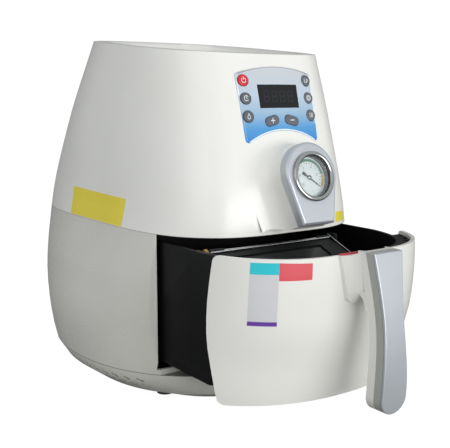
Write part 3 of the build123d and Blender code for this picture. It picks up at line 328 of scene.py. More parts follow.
FINISHES = {
    # injection-moulded ABS off a polished tool: even, warm white, with a broad soft reflection; painted shade
    # in a thin band at the parting line at 162.5 mm
    "shell": Finish(
        "gloss_abs", "#E9E9E4", "#E6E6E0", 0.3, relief=0.0012, grain_size=2.5, coat=0.12, gap_shade_heights=(162.5,)
    ),
    # the same ABS off a finely textured tool, a little greyer; painted shade in a thin band at the base seam
    # at 37 mm
    "housing": Finish(
        "satin_abs", "#CFCEC7", "#CCCBC4", 0.28, relief=0.0015, grain_size=1.0, coat=0.1, gap_shade_heights=(37.0,)
    ),
    # the same ABS for the drawer's front and the grip's inside, a little glossier
    "drawer_white": Finish(
        "satin_abs_drawer", "#E6E6E0", "#E3E3DD", 0.24, relief=0.0012, grain_size=1.0, coat=0.15
    ),
    # metallic lacquer on moulded ABS: a cool silver with fine flake
    "silver": Finish(
        "silver_lacquer", "#BCC1C6", "#B6BBC0", 0.38, Grain.SPRAYED,
        grain_size=0.35, relief=0.004, metallic=0.5, coat=0.2,
    ),
    # grey ABS, coloured through and dull
    "grey_band": Finish("grey_abs", "#A6A8A3", "#A1A39E", 0.4, grain_size=0.8, relief=0.008),
    # satin chrome plate on pressed brass
    "bezel_chrome": Finish(
        "satin_chrome", "#B0B2B0", "#A8AAA8", 0.16, grain_size=3.0, relief=0.001, metallic=1.0
    ),
    # the gauge's pressed steel case, blackened inside
    "case_black": Finish(
        "black_case_lacquer", "#1D2527", "#212A2C", 0.6, grain_size=0.6, relief=0.004, ior=1.3
    ),
    # white enamel on the dial's thin sheet
    "dial": Finish("enamel_print", "#F8FBFB", "#F4F7F7", 0.4, grain_size=0.5, relief=0.002),
    # black lacquer, which also stands for the dial's black print
    "needle": Finish("black_lacquer", "#17181A", "#1B1C1E", 0.3, grain_size=0.6, relief=0.002, coat=0.4),
    # turned brass with the tool's fine lines
    "brass": Finish(
        "turned_brass", "#B5944E", "#AB8A46", 0.3, Grain.BRUSHED, grain_size=0.3, relief=0.004, metallic=1.0
    ),
    # sheet steel under black powder coat, with a fine orange peel
    "black_steel": Finish(
        "black_powder_coat", "#0E0F10", "#121314", 0.5, Grain.SPRAYED, grain_size=0.5, relief=0.012, ior=1.34
    ),
    # drawn stainless steel, brushed along its length
    "bright_steel": Finish(
        "stainless_steel", "#C6C8CA", "#BDBFC1", 0.22, Grain.BRUSHED,
        grain_size=0.3, relief=0.003, metallic=1.0,
    ),
    # zinc-plated steel, a little cloudy
    "zinc": Finish(
        "zinc_plate", "#AEB2B4", "#A2A6A8", 0.36, Grain.SPRAYED, grain_size=0.8, relief=0.004, metallic=1.0
    ),
    # milled aluminium with the cutter's fine lines
    "aluminium_plate": Finish(
        "milled_aluminium", "#B9BBBD", "#B2B4B6", 0.34, Grain.BRUSHED,
        grain_size=0.3, relief=0.005, metallic=1.0,
    ),
    # glass-filled nylon off a spark-eroded tool: black, with a wide dull sheen
    "pan_black": Finish("black_nylon", "#090A0A", "#0C0D0D", 0.5, grain_size=0.6, relief=0.015, ior=1.32),
    # black ABS with a fine grain, for small mouldings
    "black_plastic": Finish("black_abs", "#191A1C", "#1E1F21", 0.42, grain_size=0.6, relief=0.012),
    # natural nylon, milky
    "nylon": Finish("natural_nylon", "#D6D4CA", "#CFCDC3", 0.45, grain_size=0.8, relief=0.008),
    # green solder mask, mottled by the copper under it
    "board": Finish(
        "solder_mask", "#1E6A3A", "#1A5F33", 0.3, grain_size=1.5, relief=0.006, mottle_size=6.0
    ),
    # frosted quartz glass
    "quartz": Finish("frosted_quartz", "#E9DFD0", "#E2D8C8", 0.3, grain_size=0.6, relief=0.004),
    # steatite, matt and off-white
    "ceramic": Finish("steatite", "#E2DBCC", "#DAD2C2", 0.6, grain_size=0.5, relief=0.01),
    # black silicone hose, dull
    "hose": Finish("black_silicone_hose", "#242527", "#2A2B2D", 0.5, grain_size=0.6, relief=0.006),
    # moulded black rubber
    "foot_rubber": Finish("black_rubber", "#1B1B1C", "#202021", 0.62, grain_size=0.5, relief=0.01),
    # dark silicone sheet, smooth from the calender
    "silicone": Finish(
        "silicone_sheet", "#15181A", "#1B1E20", 0.3, grain_size=1.2, relief=0.01, mottle_size=25.0, ior=1.4
    ),
    # red silicone sponge, matt
    "gasket_red": Finish("red_silicone_sponge", "#A83024", "#9E2A20", 0.6, grain_size=0.5, relief=0.02),
    # red ABS off a polished tool
    "release_red": Finish("red_abs", "#C9252E", "#C2212A", 0.28, grain_size=1.0, relief=0.003, coat=0.3),
    # soft grey silicone of the keys
    "key_grey": Finish("grey_silicone_key", "#5B5F66", "#565A61", 0.36, grain_size=0.6, relief=0.004),
    # soft red silicone of the power key
    "key_red": Finish("red_silicone_key", "#D3242E", "#CB202A", 0.3, grain_size=0.6, relief=0.003),
    # smoked acrylic
    "window": Finish("smoked_acrylic", "#0C1113", "#0E1315", 0.12, grain_size=4.0, relief=0.001, ior=1.42),
    # screen-printing inks
    "ink_white": ink("white_ink", "#E6E9EC", "#E0E3E6"),
    "ink_pale": ink("pale_ink", "#E9EDF4", "#E6EAF1", 0.3),
    "ink_grey": ink("grey_ink", "#8C9199", "#888D95", 0.35),
    "ink_green": ink("green_ink", "#128A5C", "#108256"),
    "ink_amber": ink("amber_ink", "#E0AE3C", "#DAA734"),
    # the display's unlit segments, seen through the window
    "segment": ink("unlit_segment", "#171C1F", "#161B1E", 0.25),
    # sticker vinyl
    "vinyl_yellow": vinyl("yellow_vinyl", "#EEDD2A", "#E8D724"),
    "vinyl_red": vinyl("red_vinyl", "#DC5862", "#D6525C"),
    "vinyl_teal": vinyl("teal_vinyl", "#2CC6D0", "#28BFC9"),
    "vinyl_grey": vinyl("grey_vinyl", "#CFD0D2", "#CACBCD"),
    "vinyl_purple": vinyl("purple_vinyl", "#6A3FA0", "#643A99"),
}


@dataclass
class Palette:
    """Builds each finish once and hands it out by name."""

    made: dict[str, Material] = field(default_factory=dict)

    def get(self, name: str) -> Material:
        """Returns the material of a finish, made at its first use.

        Args:
            name: The finish's name in the table.
        Returns:
            The material.
        """
        if name not in self.made:
            special = {"panel_film": FilmPrint(), "lens": ClearGlass()}
            self.made[name] = special.get(name, FINISHES.get(name)).build()
        return self.made[name]

    def dress(self, piece: Piece, name: str) -> Piece:
        """Gives a piece its finish.

        Args:
            piece: The piece.
            name: The finish's name in the table.
        Returns:
            The same piece.
        """
        piece.data.materials.clear()
        piece.data.materials.append(self.get(name))
        return piece


# ---------------------------------------------------------------- surfaces
def object_from(name: str, vertices: np.ndarray, faces: list[list[int]] | np.ndarray) -> Piece:
    """Puts vertices and faces into a new object at the origin.

    Args:
        name: The piece's name.
        vertices: Points in metres, one per row.
        faces: Vertex numbers of each face.
    Returns:
        The object, linked to the scene, with its normals pointing out.
    """
    mesh = bpy.data.meshes.new(name)
    mesh.from_pydata(vertices.reshape(-1, 3).tolist(), [], [list(map(int, face)) for face in faces])
    work = bmesh.new()
    work.from_mesh(mesh)
    bmesh.ops.remove_doubles(work, verts=work.verts, dist=WELD)
    bmesh.ops.recalc_face_normals(work, faces=work.faces)
    work.to_mesh(mesh)
    work.free()
    mesh.shade_smooth()
    mesh.set_sharp_from_angle(angle=math.radians(CREASE))
    return linked(name, mesh)


def grid_faces(rows: int, columns: int, wrap: bool) -> np.ndarray:
    """Numbers the quads of a grid of points, joining its last column to its first where it wraps.

    Args:
        rows: How many rows of points there are.
        columns: How many points a row has.
        wrap: Whether the last column joins the first.
    Returns:
        Four point numbers for each quad.
    """
    row = np.arange(rows - 1)[:, None]
    column = np.arange(columns if wrap else columns - 1)[None, :]
    after = (column + 1) % columns
    this, over = row * columns, (row + 1) * columns
    return np.stack([this + column, this + after, over + after, over + column], -1).reshape(-1, 4)


def stack(name: str, loops: np.ndarray, close_ends: bool = True) -> Piece:
    """Joins closed loops of equal length, one over the other, into a body.

    Args:
        name: The piece's name.
        loops: Points in metres, shaped (levels, points round, 3).
        close_ends: Whether the first and last loops are filled in.
    Returns:
        The object.
    """
    levels, around = loops.shape[:2]
    faces = [list(quad) for quad in grid_faces(levels, around, wrap=True)]
    if close_ends:
        faces.append(list(range(around))[::-1])
        faces.append([(levels - 1) * around + i for i in range(around)])
    return object_from(name, loops, faces)


@dataclass(frozen=True)
class Seat:
    """A flat frame of reference: an origin in millimetres, a way across, a way up and the way out."""

    origin: tuple[float, float, float]
    across: tuple[float, float, float]
    up: tuple[float, float, float]

    @property
    def out(self) -> np.ndarray:
        """The way that the seat faces."""
        return np.cross(self.across, self.up)

    def place(self, u: np.ndarray, v: np.ndarray, w: np.ndarray | float) -> np.ndarray:
        """Turns offsets in millimetres across, up and out into points in metres.

        Args:
            u: Offsets across.
            v: Offsets up.
            w: Offsets out.
        Returns:
            Points in metres, one per row.
        """
        u, v, w = np.broadcast_arrays(np.asarray(u, float), v, w)
        flat = np.asarray(self.origin) + u[..., None] * self.across + v[..., None] * self.up
        return (flat + w[..., None] * self.out) * MM

    def turned(self, name: str, profile: list[tuple[float, float]], steps: int = 128) -> Piece:
        """Turns a profile of (radius, height) about the way out: (r cos t, r sin t, h).

        Args:
            name: The piece's name.
            profile: The closed outline's points in millimetres.
            steps: How many points there are round the axis.
        Returns:
            The object.
        """
        line = np.array(profile + profile[:1], float)
        angle = np.linspace(0, 2 * np.pi, steps, endpoint=False)
        radius, height = line[:, :1], line[:, 1:]
        loops = self.place(radius * np.cos(angle), radius * np.sin(angle), height)
        return stack(name, loops, close_ends=False)

    def slab(self, name: str, outline: np.ndarray, low: float, high: float) -> Piece:
        """Raises a closed outline into a slab.

        Args:
            name: The piece's name.
            outline: Points (across, up) in millimetres, in order.
            low: Where it starts, out from the seat.
            high: Where it ends.
        Returns:
            The object.
        """
        return stack(name, np.array([self.place(*outline.T, height) for height in (low, high)]))


def stadium(length: float, width: float, steps: int = 48, lean: float = 0.0) -> np.ndarray:
    """A slot's outline: two half circles a straight apart, turned by lean degrees.

    Args:
        length: Its whole length.
        width: Its width, or its diameter where both are the same.
        steps: How many points it has.
        lean: How far it is turned, in degrees.
    Returns:
        The outline's points.
    """
    angle = np.linspace(-np.pi / 2, 3 * np.pi / 2, steps, endpoint=False)
    half = (length - width) / 2
    ends = np.where(np.cos(angle) >= 0, half, -half)
    points = np.stack([ends + width / 2 * np.cos(angle), width / 2 * np.sin(angle)], 1)
    turn = math.radians(lean)
    return points @ np.array([[math.cos(turn), math.sin(turn)], [-math.sin(turn), math.cos(turn)]])


def bar(x0: float, y0: float, x1: float, y1: float, width: float) -> np.ndarray:
    """A straight stroke's outline from one point to another, with round ends.

    Args:
        x0: Where it starts, across.
        y0: Where it starts, up.
        x1: Where it ends, across.
        y1: Where it ends, up.
        width: Its width.
    Returns:
        The outline's points.
    """
    length = math.hypot(x1 - x0, y1 - y0)
    lean = math.degrees(math.atan2(y1 - y0, x1 - x0))
    return stadium(length + width, width, 24, lean) + [(x0 + x1) / 2, (y0 + y1) / 2]


def arc_band(radius: float, width: float, start: float, end: float, steps: int = 40) -> np.ndarray:
    """The outline of a band along an arc, between two angles in degrees.

    Args:
        radius: The radius of its middle.
        width: Its width.
        start: The angle where it starts.
        end: The angle where it ends.
        steps: How many points each edge has.
    Returns:
        The outline's points.
    """
    angle = np.radians(np.linspace(start, end, steps))
    outer = np.stack([np.cos(angle), np.sin(angle)], 1) * (radius + width / 2)
    inner = np.stack([np.cos(angle), np.sin(angle)], 1)[::-1] * (radius - width / 2)
    return np.concatenate([outer, inner])


def wire(name: str, start: np.ndarray, end: np.ndarray, radius: float, around: int = 12) -> Piece:
    """A straight round wire between two places in millimetres.

    Args:
        name: The piece's name.
        start: One end.
        end: The other end.
        radius: Its radius.
        around: How many points it has round.
    Returns:
        The wire.
    """
    way = Vector(end - start).normalized()
    side = way.orthogonal().normalized()
    other = way.cross(side)
    turn = np.linspace(0, 2 * np.pi, around, endpoint=False)
    ring = (np.cos(turn)[:, None] * np.array(side) + np.sin(turn)[:, None] * np.array(other)) * radius
    return stack(name, np.array([start + ring, end + ring]) * MM)


def skin_of(name: str) -> BVHTree:
    """The faces of a piece that is built already, to lay prints and stickers on."""
    mesh = bpy.data.objects[name].data
    return BVHTree.FromPolygons([v.co for v in mesh.vertices], [list(p.vertices) for p in mesh.polygons])


# ---------------------------------------------------------------- the housing's form
@dataclass(frozen=True)
class BodyForm:
    """The egg-shaped form: at each height |x/a|^n + |(y - m)/d|^n = 1, its sizes on smooth curves."""

    heights: tuple[float, ...] = (4, 13.5, 34, 67, 110, 165, 251, 335)
    half_widths: tuple[float, ...] = (81, 108, 131.5, 134, 125, 110, 100, 89)
    fronts: tuple[float, ...] = (50, 68, 80, 89, 98.5, 101, 87, 65)
    backs: tuple[float, ...] = (150, 161, 199, 217, 231, 232, 201, 149)
    squareness: tuple[float, ...] = (2.2, 2.2, 2.25, 2.3, 2.75, 3.3, 3.05, 2.75)

    def sizes(self, z: np.ndarray) -> np.ndarray:
        """The four sizes at each height, by cubics that never overshoot the named sections.

        Args:
            z: The heights.
        Returns:
            Half width, front, back and squareness, one column for each height.
        """
        knots = np.array(self.heights, float)
        table = np.array([self.half_widths, self.fronts, self.backs, self.squareness], float)
        span = np.diff(knots)
        rise = np.diff(table) / span
        slope = np.zeros_like(table)
        slope[:, 0], slope[:, -1] = rise[:, 0], rise[:, -1]
        low, high = rise[:, :-1], rise[:, 1:]
        first, second = 2 * span[1:] + span[:-1], span[1:] + 2 * span[:-1]
        with np.errstate(divide="ignore", invalid="ignore"):
            mean = (first + second) / (first / low + second / high)
        slope[:, 1:-1] = np.where(low * high > 0, mean, 0.0)
        index = np.clip(np.searchsorted(knots, z, side="right") - 1, 0, len(span) - 1)
        t = (z - knots[index]) / span[index]
        start, end = table[:, index], table[:, index + 1]
        leave, arrive = slope[:, index] * span[index], slope[:, index + 1] * span[index]
        return (
            (2 * t**3 - 3 * t**2 + 1) * start
            + (t**3 - 2 * t**2 + t) * leave
            + (3 * t**2 - 2 * t**3) * end
            + (t**3 - t**2) * arrive
        )

    def value(self, spot: np.ndarray) -> np.ndarray:
        """The superellipse's left side less one, at points in the housing's own millimetres.

        Args:
            spot: Points in the housing's own millimetres.
        Returns:
            Less than nothing inside the form, and more outside.
        """
        half, front, back, power = self.sizes(spot[:, 2])
        middle, depth = (back - front) / 2, (front + back) / 2
        return (np.abs(spot[:, 0]) / half) ** power + (np.abs(spot[:, 1] - middle) / depth) ** power - 1

    def slope(self, spot: np.ndarray) -> np.ndarray:
        """The gradient of value, by central differences.

        Args:
            spot: Points in the housing's own millimetres.
        Returns:
            The gradients.
        """
        step = 0.05
        rises = [self.value(spot + step * axis) - self.value(spot - step * axis) for axis in np.eye(3)]
        return np.stack(rises, 1) / (2 * step)

    def distance_and_normal(self, spot: np.ndarray) -> tuple[np.ndarray, np.ndarray]:
        """How far out each point is, and which way the form faces there.

        Args:
            spot: Points in the housing's own millimetres.
        Returns:
            The distances and the unit normals.
        """
        slope = self.slope(spot)
        steep = np.maximum(np.linalg.norm(slope, axis=1), TINY)
        return self.value(spot) / steep, slope / steep[:, None]

    def project(self, spot: np.ndarray, way: np.ndarray, steps: int = 12) -> np.ndarray:
        """Slides points along one way on to the form, by Newton's steps.

        Args:
            spot: Points in the housing's own millimetres.
            way: The direction.
            steps: How many steps are taken.
        Returns:
            The points on the form.
        """
        for _ in range(steps):
            pace = self.slope(spot) @ way
            pace = np.where(np.abs(pace) < TINY, TINY, pace)
            spot = spot - (self.value(spot) / pace)[:, None] * way
        return spot


@dataclass(frozen=True)
class NoseForm:
    """The flare behind the gauge plate: at a share s of its reach it has grown by f (1 - sqrt(1 - s^2))."""

    origin: tuple[float, float, float] = (0.0, -127.0, 213.0)
    tilt: float = 15.0
    arch_radius: float = 26.6
    arch_rise: float = 2.7
    taper: float = 14.0
    plate: float = 9.0
    reach: float = 27.0
    flare: float = 20.0
    last_share: float = 0.985
    overlap: float = 0.5
    far: float = 99.0

    def seat(self, shift_y: float) -> Seat:
        """The gauge plate's face as a seat in the model's frame.

        Args:
            shift_y: How far the housing has moved along Y, in millimetres.
        Returns:
            The seat.
        """
        lean = math.radians(self.tilt)
        x, y, z = self.origin
        return Seat((x, y + shift_y, z), (1, 0, 0), (0, math.sin(lean), math.cos(lean)))

    def distance_and_normal(self, spot: np.ndarray) -> tuple[np.ndarray, np.ndarray]:
        """How far outside the flare each point is, and which way the flare faces there.

        Args:
            spot: Points in the housing's own millimetres.
        Returns:
            The distances and the unit normals.
        """
        lean, taper = math.radians(self.tilt), math.radians(self.taper)
        up = np.array([0, math.sin(lean), math.cos(lean)])
        out = np.array([0, -math.cos(lean), math.sin(lean)])
        offset = spot - np.array(self.origin)
        u, v, w = offset[:, 0], offset @ up, offset @ out
        above = v - self.arch_rise
        from_centre = np.maximum(np.hypot(u, above), TINY)
        in_arch = above > -math.tan(taper) * np.abs(u)
        side = np.where(u >= 0, 1.0, -1.0)
        corner_u = self.arch_radius * math.cos(taper)
        corner_v = self.arch_rise - self.arch_radius * math.sin(taper)
        along_side = (np.abs(u) - corner_u) * math.cos(taper) - (v - corner_v) * math.sin(taper)
        away = np.where(in_arch, from_centre - self.arch_radius, along_side)
        face_u = np.where(in_arch, u / from_centre, side * math.cos(taper))
        face_v = np.where(in_arch, above / from_centre, -math.sin(taper))
        share = np.clip((-w - self.plate) / self.reach, 0, self.last_share)
        root = np.sqrt(1 - share**2)
        lean_out = self.flare * share / root / self.reach
        normal = face_u[:, None] * [1, 0, 0] + face_v[:, None] * up + lean_out[:, None] * out
        normal /= np.linalg.norm(normal, axis=1)[:, None]
        behind = (w < -self.plate + self.overlap) & (w > -self.plate - self.reach)
        distance = (away - self.flare * (1 - root)) / np.sqrt(1 + lean_out**2)
        return np.where(behind, distance, self.far), normal


BODY = BodyForm()
NOSE = NoseForm()


# ---------------------------------------------------------------- copies of the frame's nodes
HALVINGS = 3
BODY_REACH = 0.45  # millimetres off the body's formula within which a point belongs to the outer skin
FLARE_REACH = 1.6  # the same for the nose's flare
FOOT_BODY_REACH = 0.6  # the same for the body near the nose's foot
FOOT_FLARE_REACH = 3.5  # the same for the flare near its foot
SAME_WAY = 0.72  # least cosine between a face of the skin and the form's normal
FOOT_SAME_WAY = 0.1  # the same near the nose's foot, where the two forms meet at a slant


def merged_copy(node: str, name: str, flatten: float = 0.0, longest: float = 0.0) -> Piece:
    """Copies a node's mesh with its doubled points merged, to stand for the node.

    Args:
        node: The node's name.
        name: The new piece's name.
        flatten: Degrees below which neighbouring faces become one.
        longest: Edges longer than this, in metres, are halved a few times, for smoother normals.
    Returns:
        The new piece, riding where the node rides.
    """
    source = frame["nodes"][node]
    mesh = source.data.copy()
    work = bmesh.new()
    work.from_mesh(mesh)
    bmesh.ops.remove_doubles(work, verts=work.verts, dist=NODE_WELD)
    if flatten:
        limit = math.radians(flatten)
        bmesh.ops.dissolve_limit(
            work, angle_limit=limit, verts=work.verts, edges=work.edges, delimit={"NORMAL"}
        )
    if longest:
        for _ in range(HALVINGS):
            long = [edge for edge in work.edges if edge.calc_length() > longest]
            if long:
                bmesh.ops.subdivide_edges(work, edges=long, cuts=1)
        bmesh.ops.triangulate(work, faces=[face for face in work.faces if len(face.verts) > 4])
    work.to_mesh(mesh)
    work.free()
    piece = linked(name, mesh)
    mesh.shade_smooth()
    mesh.set_sharp_from_angle(angle=math.radians(COPY_CREASE))
    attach(piece, source["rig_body"])
    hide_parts(node)
    return piece


def soft_normal(spot: np.ndarray, blend: float) -> tuple[np.ndarray, np.ndarray, np.ndarray]:
    """Blends the body's normal with the flare's: h m + (1 - h) n, with h = 1/2 + (b - a) / 2k.

    Args:
        spot: Points in the housing's own millimetres.
        blend: The width k over which one normal turns into the other.
    Returns:
        The normals, the distances a from the body and the distances b from the flare.
    """
    from_body, body_normal = BODY.distance_and_normal(spot)
    from_nose, nose_normal = NOSE.distance_and_normal(spot)
    share = np.clip(0.5 + (from_nose - from_body) / (2 * blend), 0, 1)[:, None]
    normal = body_normal * share + nose_normal * (1 - share)
    return normal / np.maximum(np.linalg.norm(normal, axis=1)[:, None], TINY), from_body, from_nose


def read(items: bpy.types.bpy_prop_collection, name: str, width: int = 1) -> np.ndarray:
    """Reads one property of a mesh's items into an array.

    Args:
        items: The mesh's loops, vertices, polygons or corner normals.
        name: The property's name.
        width: How many numbers each item holds.
    Returns:
        One row for each item, or one number where the width is one.
    """
    values = np.zeros(len(items) * width, np.int32 if width == 1 else np.float32)
    items.foreach_get(name, values)
    return values if width == 1 else values.reshape(-1, width).astype(float)


def true_normals(piece: Piece, shift_y: float, nose: bool = False, blend: float = 15.0) -> None:
    """Gives a copied shell the form's own normals, so that its light runs as smoothly as the moulding's.

    Each face corner that lies on the form and faces its way takes the form's normal. Near the nose's foot,
    the body's normal and the flare's are blended, as a fillet turns between them.

    Args:
        piece: The copied shell.
        shift_y: How far the piece has moved along Y from the housing's own frame, in millimetres.
        nose: Whether the shell carries the gauge nose.
        blend: How far from the nose's foot the light still turns softly, in millimetres.
    """
    mesh = piece.data
    corners = read(mesh.corner_normals, "vector", 3)
    spot = read(mesh.vertices, "co", 3)[read(mesh.loops, "vertex_index")] / MM - [0, shift_y, 0]
    face_normal = np.repeat(read(mesh.polygons, "normal", 3), read(mesh.polygons, "loop_total"), axis=0)
    from_body, smooth = BODY.distance_and_normal(spot)
    outside, facing = np.abs(from_body) < BODY_REACH, SAME_WAY
    if nose:
        smooth, from_body, from_nose = soft_normal(spot, blend)
        on_flare = (np.abs(from_nose) < FLARE_REACH) & (from_body > -BODY_REACH)
        outside = (outside & (from_nose > -FLARE_REACH)) | on_flare
        near = (np.abs(from_body) < blend) & (np.abs(from_nose) < blend)
        outside |= near & (from_body > -FOOT_BODY_REACH) & (from_nose > -FOOT_FLARE_REACH)
        facing = np.where(near, FOOT_SAME_WAY, facing)
    outside &= np.einsum("ij,ij->i", face_normal, smooth) > facing
    result = np.where(outside[:, None], smooth, corners)
    result /= np.maximum(np.linalg.norm(result, axis=1)[:, None], TINY)
    mesh.normals_split_custom_set(result.tolist())


def soften(piece: Piece, radius: float, segments: int = 3, angle: float = 32.0) -> None:
    """Rounds a piece's sharp edges by a real radius in millimetres.

    Args:
        piece: The piece.
        radius: The radius in millimetres.
        segments: How many faces a round has.
        angle: Degrees past which an edge counts as sharp.
    """
    bevel = piece.modifiers.new("rounded_edges", "BEVEL")
    bevel.width = radius * MM
    bevel.segments = segments
    bevel.limit_method = "ANGLE"
    bevel.angle_limit = math.radians(angle)
    bevel.harden_normals = True


# ---------------------------------------------------------------- sub-assemblies
@dataclass
class Housing:
    """The white upper shell, the lower housing and the base tray."""

    palette: Palette
    shift_y: float = -3.0
    longest_edge: float = 0.02

    def build(self) -> list[Piece]:
        """Copies the shells with the form's own normals and dresses them.

        Returns:
            The three skins.
        """
        upper = merged_copy("upper_shell", "upper_shell_skin", longest=self.longest_edge)
        true_normals(upper, self.shift_y, nose=True)
        lower = merged_copy("lower_housing", "lower_housing_skin")
        true_normals(lower, self.shift_y)
        tray = merged_copy("base_tray", "base_tray_skin")
        true_normals(tray, self.shift_y)
        self.palette.dress(upper, "shell")
        for piece in (lower, tray):
            self.palette.dress(piece, "housing")
        return [upper, lower, tray]


@dataclass
class Gauge:
    """The vacuum gauge: plate, rounded chrome ring, blackened well, dial print, needle and hub."""

    palette: Palette
    shift_y: float = -3.0
    plate_rounding: float = 0.7
    ring_outer: float = 21.0
    ring_bore: float = 17.2
    ring_step: float = 17.6
    ring_shoulder: float = 1.9
    ring_height: float = 3.2
    ring_gap: float = 0.02
    well_clearance: float = 0.1
    well_wall: float = 0.35
    well_gap: float = 0.3
    dial_depth: float = 5.5
    print_root: float = 0.02
    print_height: float = 0.06
    scale_radius: float = 13.3
    scale_start: float = -37.0
    scale_sweep: float = 254.0
    band_offset: float = 1.5
    band_width: float = 2.2
    green_span: tuple[float, float] = (8, 152)
    amber_span: tuple[float, float] = (-31, 6)
    marks: int = 10
    long_tick: float = 2.4
    short_tick: float = 1.4
    tick_width: float = 0.28
    numbers: int = 6
    number_step: int = 2
    number_inset: float = 4.1
    number_size: float = 2.8
    number_lift: float = 0.05
    number_thickness: float = 0.02
    needle_lift: float = 0.35
    needle_thickness: float = 0.5
    blade_edge: tuple[tuple[float, float], ...] = (
        (14.0, 0.12),
        (0, 0.75),
        (-3.5, 0.6),
        (-4.2, 1.25),
        (-7.4, 1.15),
    )
    hub_profile: tuple[tuple[float, float], ...] = ((0, 0), (1.9, 0), (1.9, 1.2), (1.4, 1.7), (0, 1.9))

    def ring(self, seat: Seat) -> Piece:
        """The chromed ring: a full round section outside and a stepped lip inside.

        Args:
            seat: The gauge's place on the plate.
        Returns:
            The ring.
        """
        middle, half = (self.ring_outer + self.ring_bore) / 2, (self.ring_outer - self.ring_bore) / 2
        crown_rise = self.ring_height - self.ring_shoulder
        profile = [(self.ring_outer, self.ring_gap)]
        for turn in np.linspace(0, np.pi, 17):
            profile.append((middle + half * math.cos(turn), self.ring_shoulder + crown_rise * math.sin(turn)))
        profile += [(self.ring_step, self.ring_shoulder), (self.ring_step, self.ring_gap)]
        piece = seat.turned("gauge_ring", profile)
        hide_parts("gauge_bezel")
        return self.palette.dress(piece, "bezel_chrome")

    def well(self, seat: Seat) -> Piece:
        """The blackened wall between the ring and the dial.

        Args:
            seat: The gauge's place on the plate.
        Returns:
            The wall.
        """
        inner = self.ring_bore - self.well_clearance
        outer, foot = inner + self.well_wall, -self.dial_depth + self.well_gap
        profile = [(outer, foot), (outer, self.ring_shoulder), (inner, self.ring_shoulder), (inner, foot)]
        piece = seat.turned("gauge_well", profile)
        return self.palette.dress(piece, "case_black")

    def mark(self, seat: Seat, name: str, outline: np.ndarray, finish: str) -> Piece:
        """One printed mark on the dial.

        Args:
            seat: The gauge's place on the plate.
            name: The piece's name.
            outline: The mark's outline.
            finish: Its ink.
        Returns:
            The mark.
        """
        low, high = -self.dial_depth - self.print_root, -self.dial_depth + self.print_height
        return self.palette.dress(seat.slab(name, outline, low, high), finish)

    def digits(self, seat: Seat, text: str, way: np.ndarray, name: str) -> Piece:
        """A printed number on the dial, upright, as a thin raised mesh.

        Args:
            seat: The gauge's place on the plate.
            text: The number.
            way: The direction of its mark from the dial's centre.
            name: The piece's name.
        Returns:
            The number.
        """
        curve = bpy.data.curves.new(name, "FONT")
        curve.body, curve.size = text, self.number_size * MM
        curve.align_x, curve.align_y = "CENTER", "CENTER"
        curve.extrude, curve.resolution_u = self.number_thickness * MM, 3
        maker = linked(name + "_maker", curve)
        mesh = bpy.data.meshes.new_from_object(maker.evaluated_get(bpy.context.evaluated_depsgraph_get()))
        bpy.data.objects.remove(maker)
        radius = self.scale_radius - self.number_inset
        spot = seat.place(radius * way[0], radius * way[1], -self.dial_depth + self.number_lift)
        axes = Matrix((seat.across, seat.up, tuple(seat.out))).transposed().to_4x4()
        mesh.transform(Matrix.Translation(Vector(spot)) @ axes)
        return self.palette.dress(linked(name, mesh), "needle")

    def way_at(self, share: float) -> np.ndarray:
        """The direction from the dial's centre at a share of the scale."""
        angle = math.radians(self.scale_start + self.scale_sweep * share)
        return np.array([math.cos(angle), math.sin(angle)])

    def dial(self, seat: Seat) -> list[Piece]:
        """The dial's print: two coloured bands, the strokes of the scale and its numbers.

        Args:
            seat: The gauge's place on the plate.
        Returns:
            One piece for each mark.
        """
        middle = self.scale_radius + self.band_offset
        green = arc_band(middle, self.band_width, *self.green_span)
        amber = arc_band(middle, self.band_width, *self.amber_span)
        made = [self.mark(seat, "dial_green_arc", green, "ink_green")]
        made.append(self.mark(seat, "dial_amber_arc", amber, "ink_amber"))
        for number in range(self.marks * 2 + 1):
            way = self.way_at(number / (self.marks * 2))
            inner = self.scale_radius - (self.short_tick if number % 2 else self.long_tick)
            stroke = bar(*(way * inner), *(way * self.scale_radius), self.tick_width)
            made.append(self.mark(seat, f"dial_tick_{number:02d}", stroke, "needle"))
        for number in range(self.numbers):
            way = self.way_at(number / (self.numbers - 1))
            made.append(self.digits(seat, str(number * self.number_step), way, f"dial_number_{number}"))
        return made

    def needle(self, seat: Seat) -> Piece:
        """The needle: a tapering blade with a spade tail, on a domed hub.

        Args:
            seat: The gauge's place on the plate.
        Returns:
            The blade, which stands for the pointer.
        """
        depth = -self.dial_depth + self.needle_lift
        lean = math.radians(self.scale_start)
        far_edge = [(along, -across) for along, across in reversed(self.blade_edge)]
        turn = np.array([[math.cos(lean), math.sin(lean)], [-math.sin(lean), math.cos(lean)]])
        blade = np.array(list(self.blade_edge) + far_edge) @ turn
        piece = seat.slab("gauge_needle", blade, depth, depth + self.needle_thickness)
        hub = seat.turned("gauge_hub", [(radius, depth + rise) for radius, rise in self.hub_profile])
        for part, finish in ((piece, "needle"), (hub, "bezel_chrome")):
            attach(part, "needle")
            self.palette.dress(part, finish)
        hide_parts("pointer")
        return piece

    def build(self) -> list[Piece]:
        """Builds every piece of the gauge, and gives the needle to its own body.

        Returns:
            The gauge's pieces.
        """
        seat = NOSE.seat(self.shift_y)
        plate = merged_copy("gauge_plate", "gauge_plate_rounded", flatten=1.0)
        soften(plate, self.plate_rounding)
        self.palette.dress(plate, "silver")
        still = [self.ring(seat), self.well(seat)] + self.dial(seat)
        for piece in still:
            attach(piece, "housing")
        return still + [plate, self.needle(seat)]


class Symbol(Enum):
    """The sign that a key carries."""

    POWER = "power"
    CLOCK = "clock"
    DROP = "drop"
    MUG = "mug"
    PLATE = "plate"
    HEAT = "heat"
    PLUS = "plus"
    MINUS = "minus"


